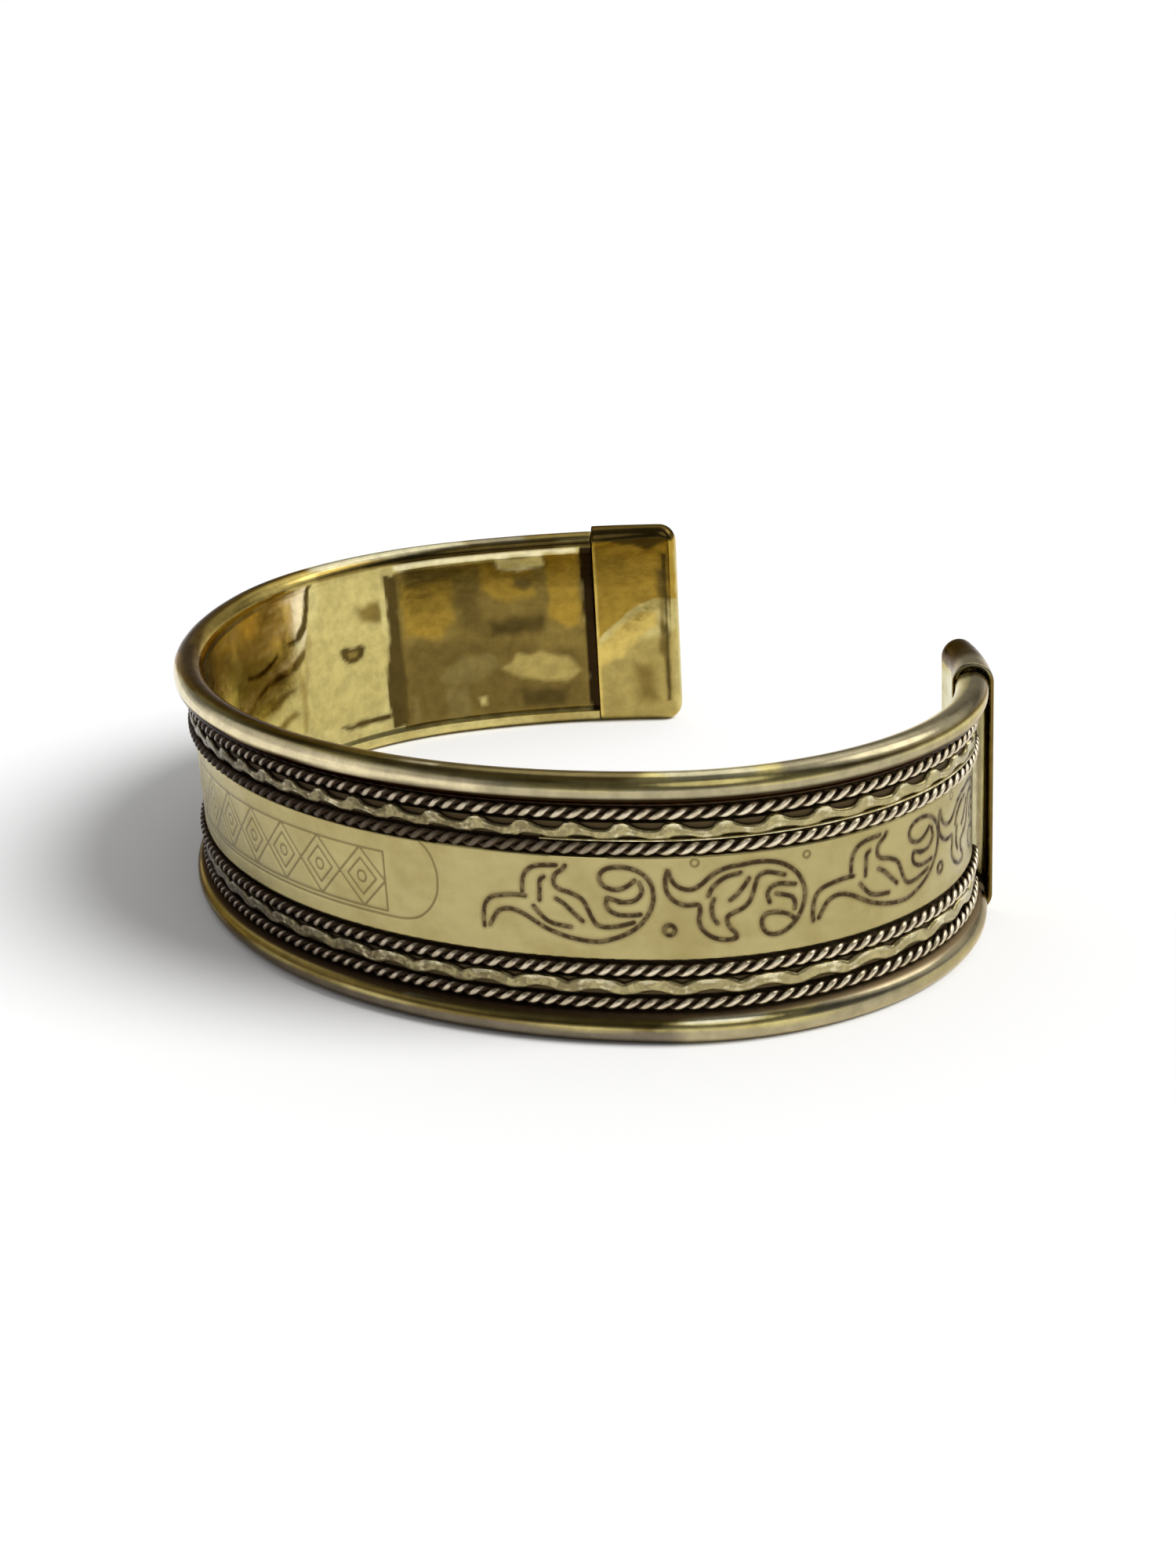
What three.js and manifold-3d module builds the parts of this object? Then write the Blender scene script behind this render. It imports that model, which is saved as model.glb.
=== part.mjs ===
import * as THREE from "three";
import Module from "manifold-3d";
import { mergeVertices } from "three/addons/utils/BufferGeometryUtils.js";

// Brass cuff bracelet, in millimetres, +Z up, resting on its lower rim.
// The gap between the ends faces +Y. The cuff is bent by hand, and its left arm is opened wider.

// Height of the band over both rims, the arc of its front, and the two more arcs of each arm:
// how far the front's arc runs in degrees, the side's arc, and the end's radius and length.
const HEIGHT = 16;
const FRONT_RADIUS = 35.7;
const RIGHT_ARM = { front: 51.9, radius: 17.8, angle: 82.6, end: 23.5, run: 9.9 };
const LEFT_ARM = { front: 48.3, radius: 20.6, angle: 57.8, end: 40.6, run: 18.6 };

// Sheet of the band, the round rims on its edges, and the gap that keeps the pieces apart.
const RIM_RADIUS = 0.92;
const SHEET = 0.47;
const GAP = 0.1;

// The wires and the plate that lie in the channel between the rims.
const ROPE_RADIUS = 0.39;
const WAVE_PERIOD = 2.81;
const BUMPS_PER_WAVE = 3;
const WAVE_HEIGHT = 1.06;
const WAVE_THICK = 0.55;
const PLATE_THICK = 0.35;

// The sheet caps folded over both ends. Each tapers from half its thickness at the mouth to half
// at the tip, where the folded sheet is solid.
const CAP = { length: 6.8, sheet: 0.3, corner: 1.3, rise: 0.42, mouth: 1.26, tip: 0.92, solid: 0.9 };

// Where each thing lies: t is how far outward from the rims' centre line, z is height.
const MID = HEIGHT / 2;
const FLOOR = SHEET - RIM_RADIUS;
const ROPE_T = FLOOR + GAP + ROPE_RADIUS;
const ROPE_OUTER = MID - 2 * RIM_RADIUS - GAP - ROPE_RADIUS;
const WAVE_Z = ROPE_OUTER - ROPE_RADIUS - GAP - WAVE_HEIGHT / 2;
const ROPE_INNER = WAVE_Z - WAVE_HEIGHT / 2 - GAP - ROPE_RADIUS;
const PLATE_HALF = ROPE_INNER - ROPE_RADIUS - GAP;
const rad = THREE.MathUtils.degToRad;

// Lengths of each arm along the rims' centre line, from the middle of the front: to where each
// arc ends, to the mouth of its cap, to the end of the band in it and to its tip.
function lengths({ front, radius, angle, end, run }) {
  const first = FRONT_RADIUS * rad(front);
  const second = radius * rad(angle);
  const tip = first + second + run;
  const mouth = tip - CAP.length;
  return { first, second, radius, end, tip, mouth, band: tip - CAP.solid - GAP };
}
const RIGHT = lengths(RIGHT_ARM);
const LEFT = lengths(LEFT_ARM);

// The plan: arcs that run into each other. Gives the point and the outward direction at s.
function plan(s) {
  const arm = s < 0 ? LEFT : RIGHT;
  const l = Math.abs(s);
  const legs = [
    [FRONT_RADIUS, Math.min(l, arm.first)],
    [arm.radius, THREE.MathUtils.clamp(l - arm.first, 0, arm.second)],
    [arm.end, Math.max(l - arm.first - arm.second, 0)],
  ];
  let x = 0;
  let y = 0;
  let a = 0;
  for (const [radius, run] of legs) {
    const b = a + run / radius;
    x += radius * (Math.sin(b) - Math.sin(a));
    y -= radius * (Math.cos(b) - Math.cos(a));
    a = b;
  }
  const side = Math.sign(s) || 1;
  return { x: side * x, y, nx: side * Math.sin(a), ny: -Math.cos(a) };
}

// Half the thickness of a cap, from its mouth to its tip.
function capHalf(arm, l) {
  const share = THREE.MathUtils.clamp((l - arm.mouth) / CAP.length, 0, 1);
  return THREE.MathUtils.lerp(CAP.mouth, CAP.tip, share);
}

// The plan is moved so that the middle of the whole cuff is over the origin.
const SHIFT = middle();
function middle() {
  const box = new THREE.Box2();
  for (let s = -LEFT.tip; s <= RIGHT.tip; s += 0.1) {
    const arm = s < 0 ? LEFT : RIGHT;
    const t = Math.abs(s) < arm.mouth ? RIM_RADIUS : capHalf(arm, Math.abs(s));
    const p = plan(s);
    box.expandByPoint(new THREE.Vector2(p.x + p.nx * t, p.y + p.ny * t));
  }
  return box.getCenter(new THREE.Vector2()).negate();
}

// The point at s along the plan, t outward and z up.
function at(s, t, z) {
  const p = plan(s);
  return [p.x + p.nx * t + SHIFT.x, p.y + p.ny * t + SHIFT.y, z];
}

// A closed solid through rings of points, with flat ends. Each ring is a list of [s, t, z].
function loft(rings) {
  const n = rings[0].length;
  const verts = rings.flat().map(([s, t, z]) => at(s, t, z));
  const index = [];
  for (let i = 0; i + 1 < rings.length; i++) {
    for (let j = 0; j < n; j++) {
      const a = i * n + j;
      const b = i * n + ((j + 1) % n);
      index.push(a, a + n, b, b, a + n, b + n);
    }
  }
  const last = (rings.length - 1) * n;
  const flat = rings[0].map(([, t, z]) => new THREE.Vector2(t, z));
  for (const [a, b, c] of THREE.ShapeUtils.triangulateShape(flat, [])) {
    index.push(a, b, c);
    index.push(last + a, last + c, last + b);
  }
  const g = new THREE.BufferGeometry();
  g.setAttribute("position", new THREE.Float32BufferAttribute(verts.flat(), 3));
  g.setIndex(index);
  return g;
}

// Even steps from one length to another, both ends included.
function steps(from, to, longest) {
  const n = Math.ceil(Math.abs(to - from) / longest);
  return Array.from({ length: n + 1 }, (_, i) => from + ((to - from) * i) / n);
}

// Where the facets meet between the caps.
const OPEN_STEPS = steps(-LEFT.mouth + GAP, RIGHT.mouth - GAP, 2.15);

// Half of the band's section: a twelve-sided rim with a flat foot, up to the sheet's outer face.
function rimSection() {
  const r = RIM_RADIUS / Math.cos(rad(15));
  const pts = [];
  for (let a = 195; a <= 465; a += 30) {
    pts.push([r * Math.cos(rad(a)), RIM_RADIUS + r * Math.sin(rad(a))]);
  }
  const [t, z] = pts[pts.length - 1];
  pts.push([FLOOR, z - (t - FLOOR) * Math.tan(rad(30))]);
  return pts;
}

// Band and both rims in one solid. Inside the caps it is pressed thinner and lower to fit them.
function band() {
  const low = rimSection();
  const section = [...low, ...low.map(([t, z]) => [t, HEIGHT - z]).reverse()];
  const floor = CAP.sheet + 1.5 * GAP;
  const roof = HEIGHT + CAP.rise - CAP.sheet - 1.5 * GAP;
  const inside = (side, arm) =>
    steps(arm.mouth, arm.band, 2).map((l) => {
      const room = (capHalf(arm, l) - CAP.sheet) * Math.cos(rad(15)) - GAP;
      const thin = (room * Math.cos(rad(15))) / RIM_RADIUS;
      return section.map(([t, z]) => [side * l, t * thin, floor + ((roof - floor) * z) / HEIGHT]);
    });
  return loft([
    ...inside(-1, LEFT).reverse(),
    ...OPEN_STEPS.map((s) => section.map(([t, z]) => [s, t, z])),
    ...inside(1, RIGHT),
  ]);
}

// Twisted wire: a four-sided bar that swells and narrows once a bump, its rings leaning as the strands do.
const ROPE_SHAPE = { waist: 0.72, lean: 0.75 };
function rope(z) {
  const bump = WAVE_PERIOD / BUMPS_PER_WAVE;
  const trim = GAP + ROPE_SHAPE.lean * ROPE_RADIUS;
  const from = -LEFT.mouth + trim;
  const to = RIGHT.mouth - trim;
  const count = Math.floor((to - from) / bump) * 2;
  const rings = [];
  for (let i = 0; i <= count; i++) {
    const s = from + ((to - from) * i) / count;
    const r = ROPE_RADIUS * (i % 2 ? 1 : ROPE_SHAPE.waist);
    const ring = [0, 90, 180, 270].map((a) => {
      const dz = r * Math.sin(rad(a));
      return [s + ROPE_SHAPE.lean * dz, ROPE_T + r * Math.cos(rad(a)), z + dz];
    });
    rings.push(ring);
  }
  return loft(rings);
}

// One period of the wave strip. Shares of the period and of its height, at its upper and lower edge.
const WAVE_TABLE = [
  { top_s: 0.0, top_z: 0.5, low_s: 0.02, low_z: -0.5 },
  { top_s: 0.33, top_z: 0.5, low_s: 0.16, low_z: -0.15 },
  { top_s: 0.5, top_z: 0.12, low_s: 0.52, low_z: -0.15 },
  { top_s: 0.85, top_z: 0.12, low_s: 0.68, low_z: -0.5 },
];

// Flat wire bent into leaning waves, laid edge up against the ropes on both sides.
function wave(z) {
  const length = LEFT.mouth + RIGHT.mouth - 2 * GAP;
  const periods = Math.floor(length / WAVE_PERIOD);
  const from = -LEFT.mouth + GAP + (length - periods * WAVE_PERIOD) / 2;
  const t0 = FLOOR + GAP;
  const t1 = t0 + WAVE_THICK;
  const soft = 0.05;
  const rings = [];
  for (let i = 0; i < periods; i++) {
    const s = from + i * WAVE_PERIOD;
    for (const w of WAVE_TABLE) {
      const su = s + w.top_s * WAVE_PERIOD;
      const sl = s + w.low_s * WAVE_PERIOD;
      const zu = z + w.top_z * WAVE_HEIGHT;
      const zl = z + w.low_z * WAVE_HEIGHT;
      rings.push([[su, t0, zu], [sl, t0, zl], [sl, t1, zl + soft], [su, t1, zu - soft]]);
    }
  }
  return loft(rings);
}

// Centre plate between the inner ropes, its outer edges taken off a little.
function plate() {
  const t0 = FLOOR + GAP;
  const t1 = t0 + PLATE_THICK;
  const edge = 0.12;
  const section = [
    [t0, MID - PLATE_HALF],
    [t1 - edge, MID - PLATE_HALF],
    [t1, MID - PLATE_HALF + edge],
    [t1, MID + PLATE_HALF - edge],
    [t1 - edge, MID + PLATE_HALF],
    [t0, MID + PLATE_HALF],
  ];
  return loft(OPEN_STEPS.map((s) => section.map(([t, z]) => [s, t, z])));
}

// A ring round a cap: straight sides, and half circles over the top and under the bottom.
function foldRing(s, half, low, high) {
  const arc = (from, z) =>
    [0, 30, 60, 90, 120, 150, 180].map((a) => {
      const turn = rad(from + a);
      return [s, half * Math.cos(turn), z + half * Math.sin(turn)];
    });
  return [...arc(180, low + half), ...arc(0, high - half)];
}

// Cap: a sleeve of folded sheet with a closed, round-cornered tip, open at its mouth.
function cap(side, arm, wasm) {
  const top = HEIGHT + CAP.rise;
  const stations = steps(arm.mouth, arm.tip - CAP.corner - 0.5, 2).map((l) => [l, 0, 0]);
  for (const a of [90, 60, 30, 0]) {
    const l = arm.tip - CAP.corner * (1 - Math.cos(rad(a)));
    const blunt = Math.max(0, 1 - (arm.tip - l) / 0.4) * 0.4;
    stations.push([l, CAP.corner * (1 - Math.sin(rad(a))), blunt]);
  }
  const outer = stations.map(([l, inset, blunt]) =>
    foldRing(side * l, capHalf(arm, l) - blunt, inset, top - inset),
  );
  const hollow = [arm.mouth - 1, ...steps(arm.mouth, arm.tip - CAP.solid, 2)].map((l) =>
    foldRing(side * l, capHalf(arm, l) - CAP.sheet, CAP.sheet, top - CAP.sheet),
  );
  if (side < 0) {
    outer.reverse();
    hollow.reverse();
  }
  return cut(wasm, loft(outer), loft(hollow));
}

// One closed geometry less another.
function cut(wasm, body, tool) {
  const [a, b] = [body, tool].map((g) => {
    const m = mergeVertices(g, 1e-4);
    const mesh = new wasm.Mesh({
      numProp: 3,
      vertProperties: new Float32Array(m.attributes.position.array),
      triVerts: new Uint32Array(m.index.array),
    });
    return new wasm.Manifold(mesh);
  });
  const out = a.subtract(b).getMesh();
  const g = new THREE.BufferGeometry();
  g.setAttribute("position", new THREE.BufferAttribute(out.vertProperties, 3));
  g.setIndex(new THREE.BufferAttribute(out.triVerts, 1));
  return g;
}

const wasm = await Module();
wasm.setup();

const look = (color, roughness) =>
  new THREE.MeshStandardMaterial({ color, metalness: 0.9, roughness, flatShading: true });
const RIM = look(0xb59a4e, 0.25);
const PLATE = look(0xb8a76a, 0.4);
const WIRE = look(0x8f7c63, 0.45);

const group = new THREE.Group();
function add(name, geometry, material) {
  const mesh = new THREE.Mesh(geometry, material);
  mesh.name = name;
  group.add(mesh);
}
add("band", band(), RIM);
add("centre_plate", plate(), PLATE);
add("rope_upper_outer", rope(MID + ROPE_OUTER), WIRE);
add("wave_strip_upper", wave(MID + WAVE_Z), PLATE);
add("rope_upper_inner", rope(MID + ROPE_INNER), WIRE);
add("rope_lower_inner", rope(MID - ROPE_INNER), WIRE);
add("wave_strip_lower", wave(MID - WAVE_Z), PLATE);
add("rope_lower_outer", rope(MID - ROPE_OUTER), WIRE);
add("end_cap_left", cap(-1, LEFT, wasm), RIM);
add("end_cap_right", cap(1, RIGHT, wasm), RIM);

export default group;
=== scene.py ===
import math

import bpy
import numpy as np
from mathutils import Matrix, Vector


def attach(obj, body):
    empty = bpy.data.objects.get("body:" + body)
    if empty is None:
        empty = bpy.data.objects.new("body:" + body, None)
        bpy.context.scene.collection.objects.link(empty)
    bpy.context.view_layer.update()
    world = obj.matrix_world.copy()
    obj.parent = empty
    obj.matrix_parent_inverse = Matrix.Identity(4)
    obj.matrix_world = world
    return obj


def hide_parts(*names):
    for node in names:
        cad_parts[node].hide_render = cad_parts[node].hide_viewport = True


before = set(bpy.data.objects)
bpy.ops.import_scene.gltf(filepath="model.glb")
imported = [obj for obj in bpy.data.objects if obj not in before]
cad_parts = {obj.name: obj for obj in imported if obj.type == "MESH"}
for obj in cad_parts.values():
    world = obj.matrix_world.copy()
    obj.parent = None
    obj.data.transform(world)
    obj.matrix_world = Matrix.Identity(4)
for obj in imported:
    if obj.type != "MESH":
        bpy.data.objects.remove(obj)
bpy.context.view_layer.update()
scene = bpy.context.scene

# Band
# Sheet brass bent round the wrist, polished inside, with a round rim soldered along each edge.
# Like every other piece it is laid out flat first, with s along it, t outward and z up,
# and is then bent along the plan of the wrist.
MM = 0.001
HEIGHT = 16.0
FRONT_RADIUS = 35.7
RIM_RADIUS = 0.92
SHEET = 0.47
GAP = 0.1
CAP_LENGTH, CAP_SHEET, CAP_CORNER, CAP_RISE = 6.8, 0.3, 1.3, 0.42
CAP_MOUTH, CAP_TIP, CAP_SOLID = 1.26, 0.92, 0.9
MID = HEIGHT / 2
FLOOR = SHEET - RIM_RADIUS


class Arm:
    """One arm of the cuff: where its arcs end along s, its cap's mouth and its tip."""

    def __init__(self, side, front, radius, angle, end, run):
        self.side, self.radius, self.end = side, radius, end
        self.first = FRONT_RADIUS * math.radians(front)
        self.second = radius * math.radians(angle)
        self.tip = self.first + self.second + run
        self.mouth = self.tip - CAP_LENGTH
        self.band = self.tip - CAP_SOLID - GAP


RIGHT = Arm(1, 51.9, 17.8, 82.6, 23.5, 9.9)
LEFT = Arm(-1, 48.3, 20.6, 57.8, 40.6, 18.6)
OPEN_LEFT, OPEN_RIGHT = -LEFT.mouth + GAP, RIGHT.mouth - GAP


def plan_point(s):
    """A point of the wrist's plan, in mm, and the outward direction there."""
    arm = LEFT if s < 0 else RIGHT
    run = abs(s)
    legs = (
        (FRONT_RADIUS, min(run, arm.first)),
        (arm.radius, min(max(run - arm.first, 0.0), arm.second)),
        (arm.end, max(run - arm.first - arm.second, 0.0)),
    )
    x = y = a = 0.0
    for radius, length in legs:
        b = a + length / radius
        x += radius * (math.sin(b) - math.sin(a))
        y -= radius * (math.cos(b) - math.cos(a))
        a = b
    return arm.side * x, y, arm.side * math.sin(a), -math.cos(a)


def cap_half(arm, length):
    """Half the thickness of a cap at a length along its arm, from its mouth to its tip."""
    share = min(max((length - arm.mouth) / CAP_LENGTH, 0.0), 1.0)
    return CAP_MOUTH + (CAP_TIP - CAP_MOUTH) * share


def plan_middle():
    """The middle of the whole cuff in plan, which the part's frame has over its origin."""
    xs, ys = [], []
    for s in np.arange(-LEFT.tip, RIGHT.tip, 0.1):
        arm = LEFT if s < 0 else RIGHT
        t = RIM_RADIUS if abs(s) < arm.mouth else cap_half(arm, abs(s))
        x, y, nx, ny = plan_point(s)
        xs.append(x + nx * t)
        ys.append(y + ny * t)
    return (min(xs) + max(xs)) / 2, (min(ys) + max(ys)) / 2


def wrist_path():
    """The plan as a line of short edges, a little longer than the cuff at both ends."""
    middle_x, middle_y = plan_middle()
    reach = LEFT.tip + 2.0
    count = 900
    points = []
    for i in range(count + 1):
        x, y, _, _ = plan_point(-reach + 2 * reach * i / count)
        points.append(((x - middle_x) * MM, (y - middle_y) * MM, 0.0))
    mesh = bpy.data.meshes.new("wrist_path")
    mesh.from_pydata(points, [(i, i + 1) for i in range(count)], [])
    path = bpy.data.objects.new("wrist_path", mesh)
    scene.collection.objects.link(path)
    return path, reach


def new_tree(name, inputs):
    """An empty Geometry Nodes tree with the named inputs, and its two end nodes."""
    tree = bpy.data.node_groups.new(name, "GeometryNodeTree")
    tree.is_modifier = True
    face = tree.interface
    face.new_socket("Geometry", in_out="INPUT", socket_type="NodeSocketGeometry")
    for label, kind, value in inputs:
        socket = face.new_socket(label, in_out="INPUT", socket_type=kind)
        if value is not None:
            socket.default_value = value
    face.new_socket("Geometry", in_out="OUTPUT", socket_type="NodeSocketGeometry")
    start = tree.nodes.new("NodeGroupInput")
    end = tree.nodes.new("NodeGroupOutput")
    return tree, start, end


def put(tree, kind, links=None, **settings):
    """Adds a node, sets its properties, and joins or sets the inputs given by name or number."""
    node = tree.nodes.new(kind)
    for key, value in settings.items():
        setattr(node, key, value)
    for key, value in (links or {}).items():
        socket = node.inputs[key]
        if isinstance(value, bpy.types.NodeSocket):
            tree.links.new(value, socket)
        else:
            socket.default_value = value
    return node


def bend_tree():
    """Bends flat work round the wrist: x runs along the path, y stands out from it, z stays up."""
    tree, start, end = new_tree(
        "bend_round_wrist",
        [
            ("Path", "NodeSocketObject", None),
            ("Path Reach", "NodeSocketFloat", 0.07),
            ("Finish", "NodeSocketMaterial", None),
        ],
    )
    flat = put(tree, "GeometryNodeInputPosition")
    kept = put(
        tree,
        "GeometryNodeStoreNamedAttribute",
        {"Geometry": start.outputs["Geometry"], "Name": "flat"},
        data_type="FLOAT_VECTOR",
        domain="POINT",
    )
    tree.links.new(flat.outputs[0], kept.inputs["Value"])
    apart = put(tree, "ShaderNodeSeparateXYZ", {0: flat.outputs[0]})
    path = put(tree, "GeometryNodeObjectInfo", {"Object": start.outputs["Path"]})
    curve = put(tree, "GeometryNodeMeshToCurve", {0: path.outputs["Geometry"]})
    along = put(
        tree,
        "ShaderNodeMath",
        {0: apart.outputs[0], 1: start.outputs["Path Reach"]},
        operation="ADD",
    )
    sample = put(
        tree,
        "GeometryNodeSampleCurve",
        {"Curves": curve.outputs[0], "Length": along.outputs[0]},
        mode="LENGTH",
    )
    out = put(
        tree,
        "ShaderNodeVectorMath",
        {0: sample.outputs["Tangent"], 1: (0.0, 0.0, 1.0)},
        operation="CROSS_PRODUCT",
    )
    out = put(tree, "ShaderNodeVectorMath", {0: out.outputs[0]}, operation="NORMALIZE")
    stand = put(
        tree,
        "ShaderNodeVectorMath",
        {0: out.outputs[0], "Scale": apart.outputs[1]},
        operation="SCALE",
    )
    up = put(tree, "ShaderNodeCombineXYZ", {2: apart.outputs[2]})
    place = put(
        tree,
        "ShaderNodeVectorMath",
        {0: sample.outputs["Position"], 1: stand.outputs[0]},
        operation="ADD",
    )
    place = put(
        tree, "ShaderNodeVectorMath", {0: place.outputs[0], 1: up.outputs[0]}, operation="ADD"
    )
    moved = put(
        tree,
        "GeometryNodeSetPosition",
        {"Geometry": kept.outputs["Geometry"], "Position": place.outputs[0]},
    )
    real = put(tree, "GeometryNodeRealizeInstances", {0: moved.outputs[0]})
    done = put(
        tree,
        "GeometryNodeSetMaterial",
        {"Geometry": real.outputs[0], "Material": start.outputs["Finish"]},
    )
    tree.links.new(done.outputs[0], end.inputs[0])
    return tree


def apply_tree(obj, tree, values):
    """Runs a tree on an object with its named inputs, and keeps the result as a plain mesh."""
    step = obj.modifiers.new(tree.name, "NODES")
    step.node_group = tree
    for item in tree.interface.items_tree:
        if item.item_type == "SOCKET" and item.in_out == "INPUT" and item.name in values:
            step[item.identifier] = values[item.name]
    bpy.context.view_layer.update()
    graph = bpy.context.evaluated_depsgraph_get()
    mesh = bpy.data.meshes.new_from_object(obj.evaluated_get(graph), depsgraph=graph)
    obj.modifiers.clear()
    old = obj.data
    obj.data = mesh
    mesh.name = obj.name
    bpy.data.meshes.remove(old)
    return obj


def flat_object(name, verts, faces):
    """A flat-laid piece from points in mm."""
    mesh = bpy.data.meshes.new(name)
    mesh.from_pydata([tuple(c * MM for c in v) for v in verts], [], faces)
    mesh.update()
    obj = bpy.data.objects.new(name, mesh)
    scene.collection.objects.link(obj)
    return obj


PATH, PATH_REACH = wrist_path()
BEND = bend_tree()


def bend_piece(obj, material, sharp=None):
    """Bends a flat piece, smooths its shading and hands it to the frame's one body."""
    obj.data.materials.append(material)
    apply_tree(obj, BEND, {"Path": PATH, "Path Reach": PATH_REACH * MM, "Finish": material})
    obj.data.shade_smooth()
    if sharp:
        obj.data.set_sharp_from_angle(angle=math.radians(sharp))
    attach(obj, "root")
    return obj


def side_faces(rings, count):
    """Quads between rings that have the same count of points."""
    faces = []
    for i in range(rings - 1):
        for j in range(count):
            a, b = i * count + j, i * count + (j + 1) % count
            faces.append((a, a + count, b + count, b))
    return faces


def ring_faces(rings, count):
    """The sides between the rings, and a flat face over each end."""
    faces = side_faces(rings, count)
    faces.append(tuple(range(count)))
    faces.append(tuple(reversed(range((rings - 1) * count, rings * count))))
    return faces


def soft_noise(s, z, scale, seed):
    """Smooth waves in two directions, between about -1 and 1, the same on every run."""
    rng = np.random.default_rng(seed)
    total = np.zeros_like(s, dtype=float)
    for _ in range(7):
        angle = rng.uniform(0, math.pi)
        turn = rng.uniform(0, 2 * math.pi)
        size = scale * rng.uniform(0.6, 1.6)
        total += np.sin((s * math.cos(angle) + z * math.sin(angle)) * 2 * math.pi / size + turn)
    return total / 3.5


RIM_POINTS, FLOOR_POINTS, INNER_POINTS = 26, 10, 62
OPEN_ROWS, PRESSED_ROWS = 560, 5
OVERHANG, UNDERCUT = 0.17, 0.42


def band_section():
    """Points (t, z) round the band: lower rim, channel floor, upper rim, inner face."""
    start = math.degrees(math.acos(FLOOR / RIM_RADIUS))
    rim = []
    for a in np.linspace(180, 360 + start, RIM_POINTS):
        c = math.cos(math.radians(a))
        rim.append(((RIM_RADIUS + OVERHANG if c < 0 else RIM_RADIUS) * c,
                    RIM_RADIUS + RIM_RADIUS * math.sin(math.radians(a))))
    low_z = rim[-1][1]
    floor = [(FLOOR, z) for z in np.linspace(low_z, HEIGHT - low_z, FLOOR_POINTS + 2)[1:-1]]
    top = [(t, HEIGHT - z) for t, z in reversed(rim)]
    inner = []
    for z in np.linspace(HEIGHT - RIM_RADIUS, RIM_RADIUS, INNER_POINTS + 2)[1:-1]:
        drop = min(HEIGHT / 2 - RIM_RADIUS - abs(z - HEIGHT / 2), UNDERCUT) / UNDERCUT
        inner.append((-RIM_RADIUS - OVERHANG * math.sqrt(1 - drop * drop), z))
    return rim + floor + top + inner


def band_mesh():
    """The section carried along the band, dented a little inside, and pressed to fit the caps."""
    section = np.array(band_section())
    t, z = section[:, 0], section[:, 1]
    inner = (t < -RIM_RADIUS + 1e-6) & (z > RIM_RADIUS) & (z < HEIGHT - RIM_RADIUS)
    fade = np.sin(np.clip((z - RIM_RADIUS) / (HEIGHT - 2 * RIM_RADIUS), 0, 1) * math.pi) ** 0.5
    low = CAP_SHEET + 1.5 * GAP
    high = HEIGHT + CAP_RISE - CAP_SHEET - 1.5 * GAP
    verts = []

    def pressed(arm, length):
        thin = (cap_half(arm, length) - CAP_SHEET - GAP) / RIM_RADIUS
        for a, b in section:
            verts.append((arm.side * length, max(a, -RIM_RADIUS) * thin,
                          low + (high - low) * b / HEIGHT))

    left_rows = np.linspace(LEFT.band, LEFT.mouth, PRESSED_ROWS)
    open_rows = np.linspace(OPEN_LEFT, OPEN_RIGHT, OPEN_ROWS)
    right_rows = np.linspace(RIGHT.mouth, RIGHT.band, PRESSED_ROWS)
    for length in left_rows:
        pressed(LEFT, length)
    for s in open_rows:
        along = np.full_like(z, s)
        dent = 0.05 * soft_noise(along, z, 16.0, 3) + 0.014 * soft_noise(along, z, 5.0, 4)
        for a, b in zip(np.where(inner, t + (dent - 0.03) * fade, t), z):
            verts.append((s, a, b))
    for length in right_rows:
        pressed(RIGHT, length)
    return verts, ring_faces(OPEN_ROWS + 2 * PRESSED_ROWS, len(section))


def new_material(name):
    """A material with one shader and nothing joined to it yet."""
    material = bpy.data.materials.new(name)
    material.use_nodes = True
    tree = material.node_tree
    tree.nodes.clear()
    end = tree.nodes.new("ShaderNodeOutputMaterial")
    shader = tree.nodes.new("ShaderNodeBsdfPrincipled")
    tree.links.new(shader.outputs[0], end.inputs[0])
    return material, tree, shader


def flat_place(tree, scale=(1.0, 1.0, 1.0)):
    """The piece's flat-laid place in mm, stretched by scale, for a pattern that follows it."""
    place = put(tree, "ShaderNodeAttribute", attribute_name="flat")
    size = tuple(1000.0 * k for k in scale)
    return put(
        tree, "ShaderNodeVectorMath", {0: place.outputs["Vector"], 1: size}, operation="MULTIPLY"
    ).outputs[0]


def noise(tree, vector, scale, detail=3.0, rough=0.5):
    return put(
        tree,
        "ShaderNodeTexNoise",
        {"Vector": vector, "Scale": scale, "Detail": detail, "Roughness": rough},
    ).outputs[0]


def band_range(tree, value, low, high, out_low=0.0, out_high=1.0):
    """Maps value smoothly from low..high to out_low..out_high."""
    return put(
        tree,
        "ShaderNodeMapRange",
        {"Value": value, 1: low, 2: high, 3: out_low, 4: out_high},
        interpolation_type="SMOOTHSTEP",
    ).outputs[0]


def blend_colour(tree, factor, first, second):
    node = put(tree, "ShaderNodeMix", data_type="RGBA")
    for socket, value in ((node.inputs[0], factor), (node.inputs[6], first), (node.inputs[7], second)):
        if isinstance(value, bpy.types.NodeSocket):
            tree.links.new(value, socket)
        else:
            socket.default_value = value
    return node.outputs[2]


def maths(tree, operation, first, second=0.5):
    return put(tree, "ShaderNodeMath", {0: first, 1: second}, operation=operation).outputs[0]


def bump(tree, height, strength, distance, below=None):
    node = put(tree, "ShaderNodeBump", {"Height": height, "Strength": strength, "Distance": distance})
    if below is not None:
        tree.links.new(below, node.inputs["Normal"])
    return node.outputs[0]


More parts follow.
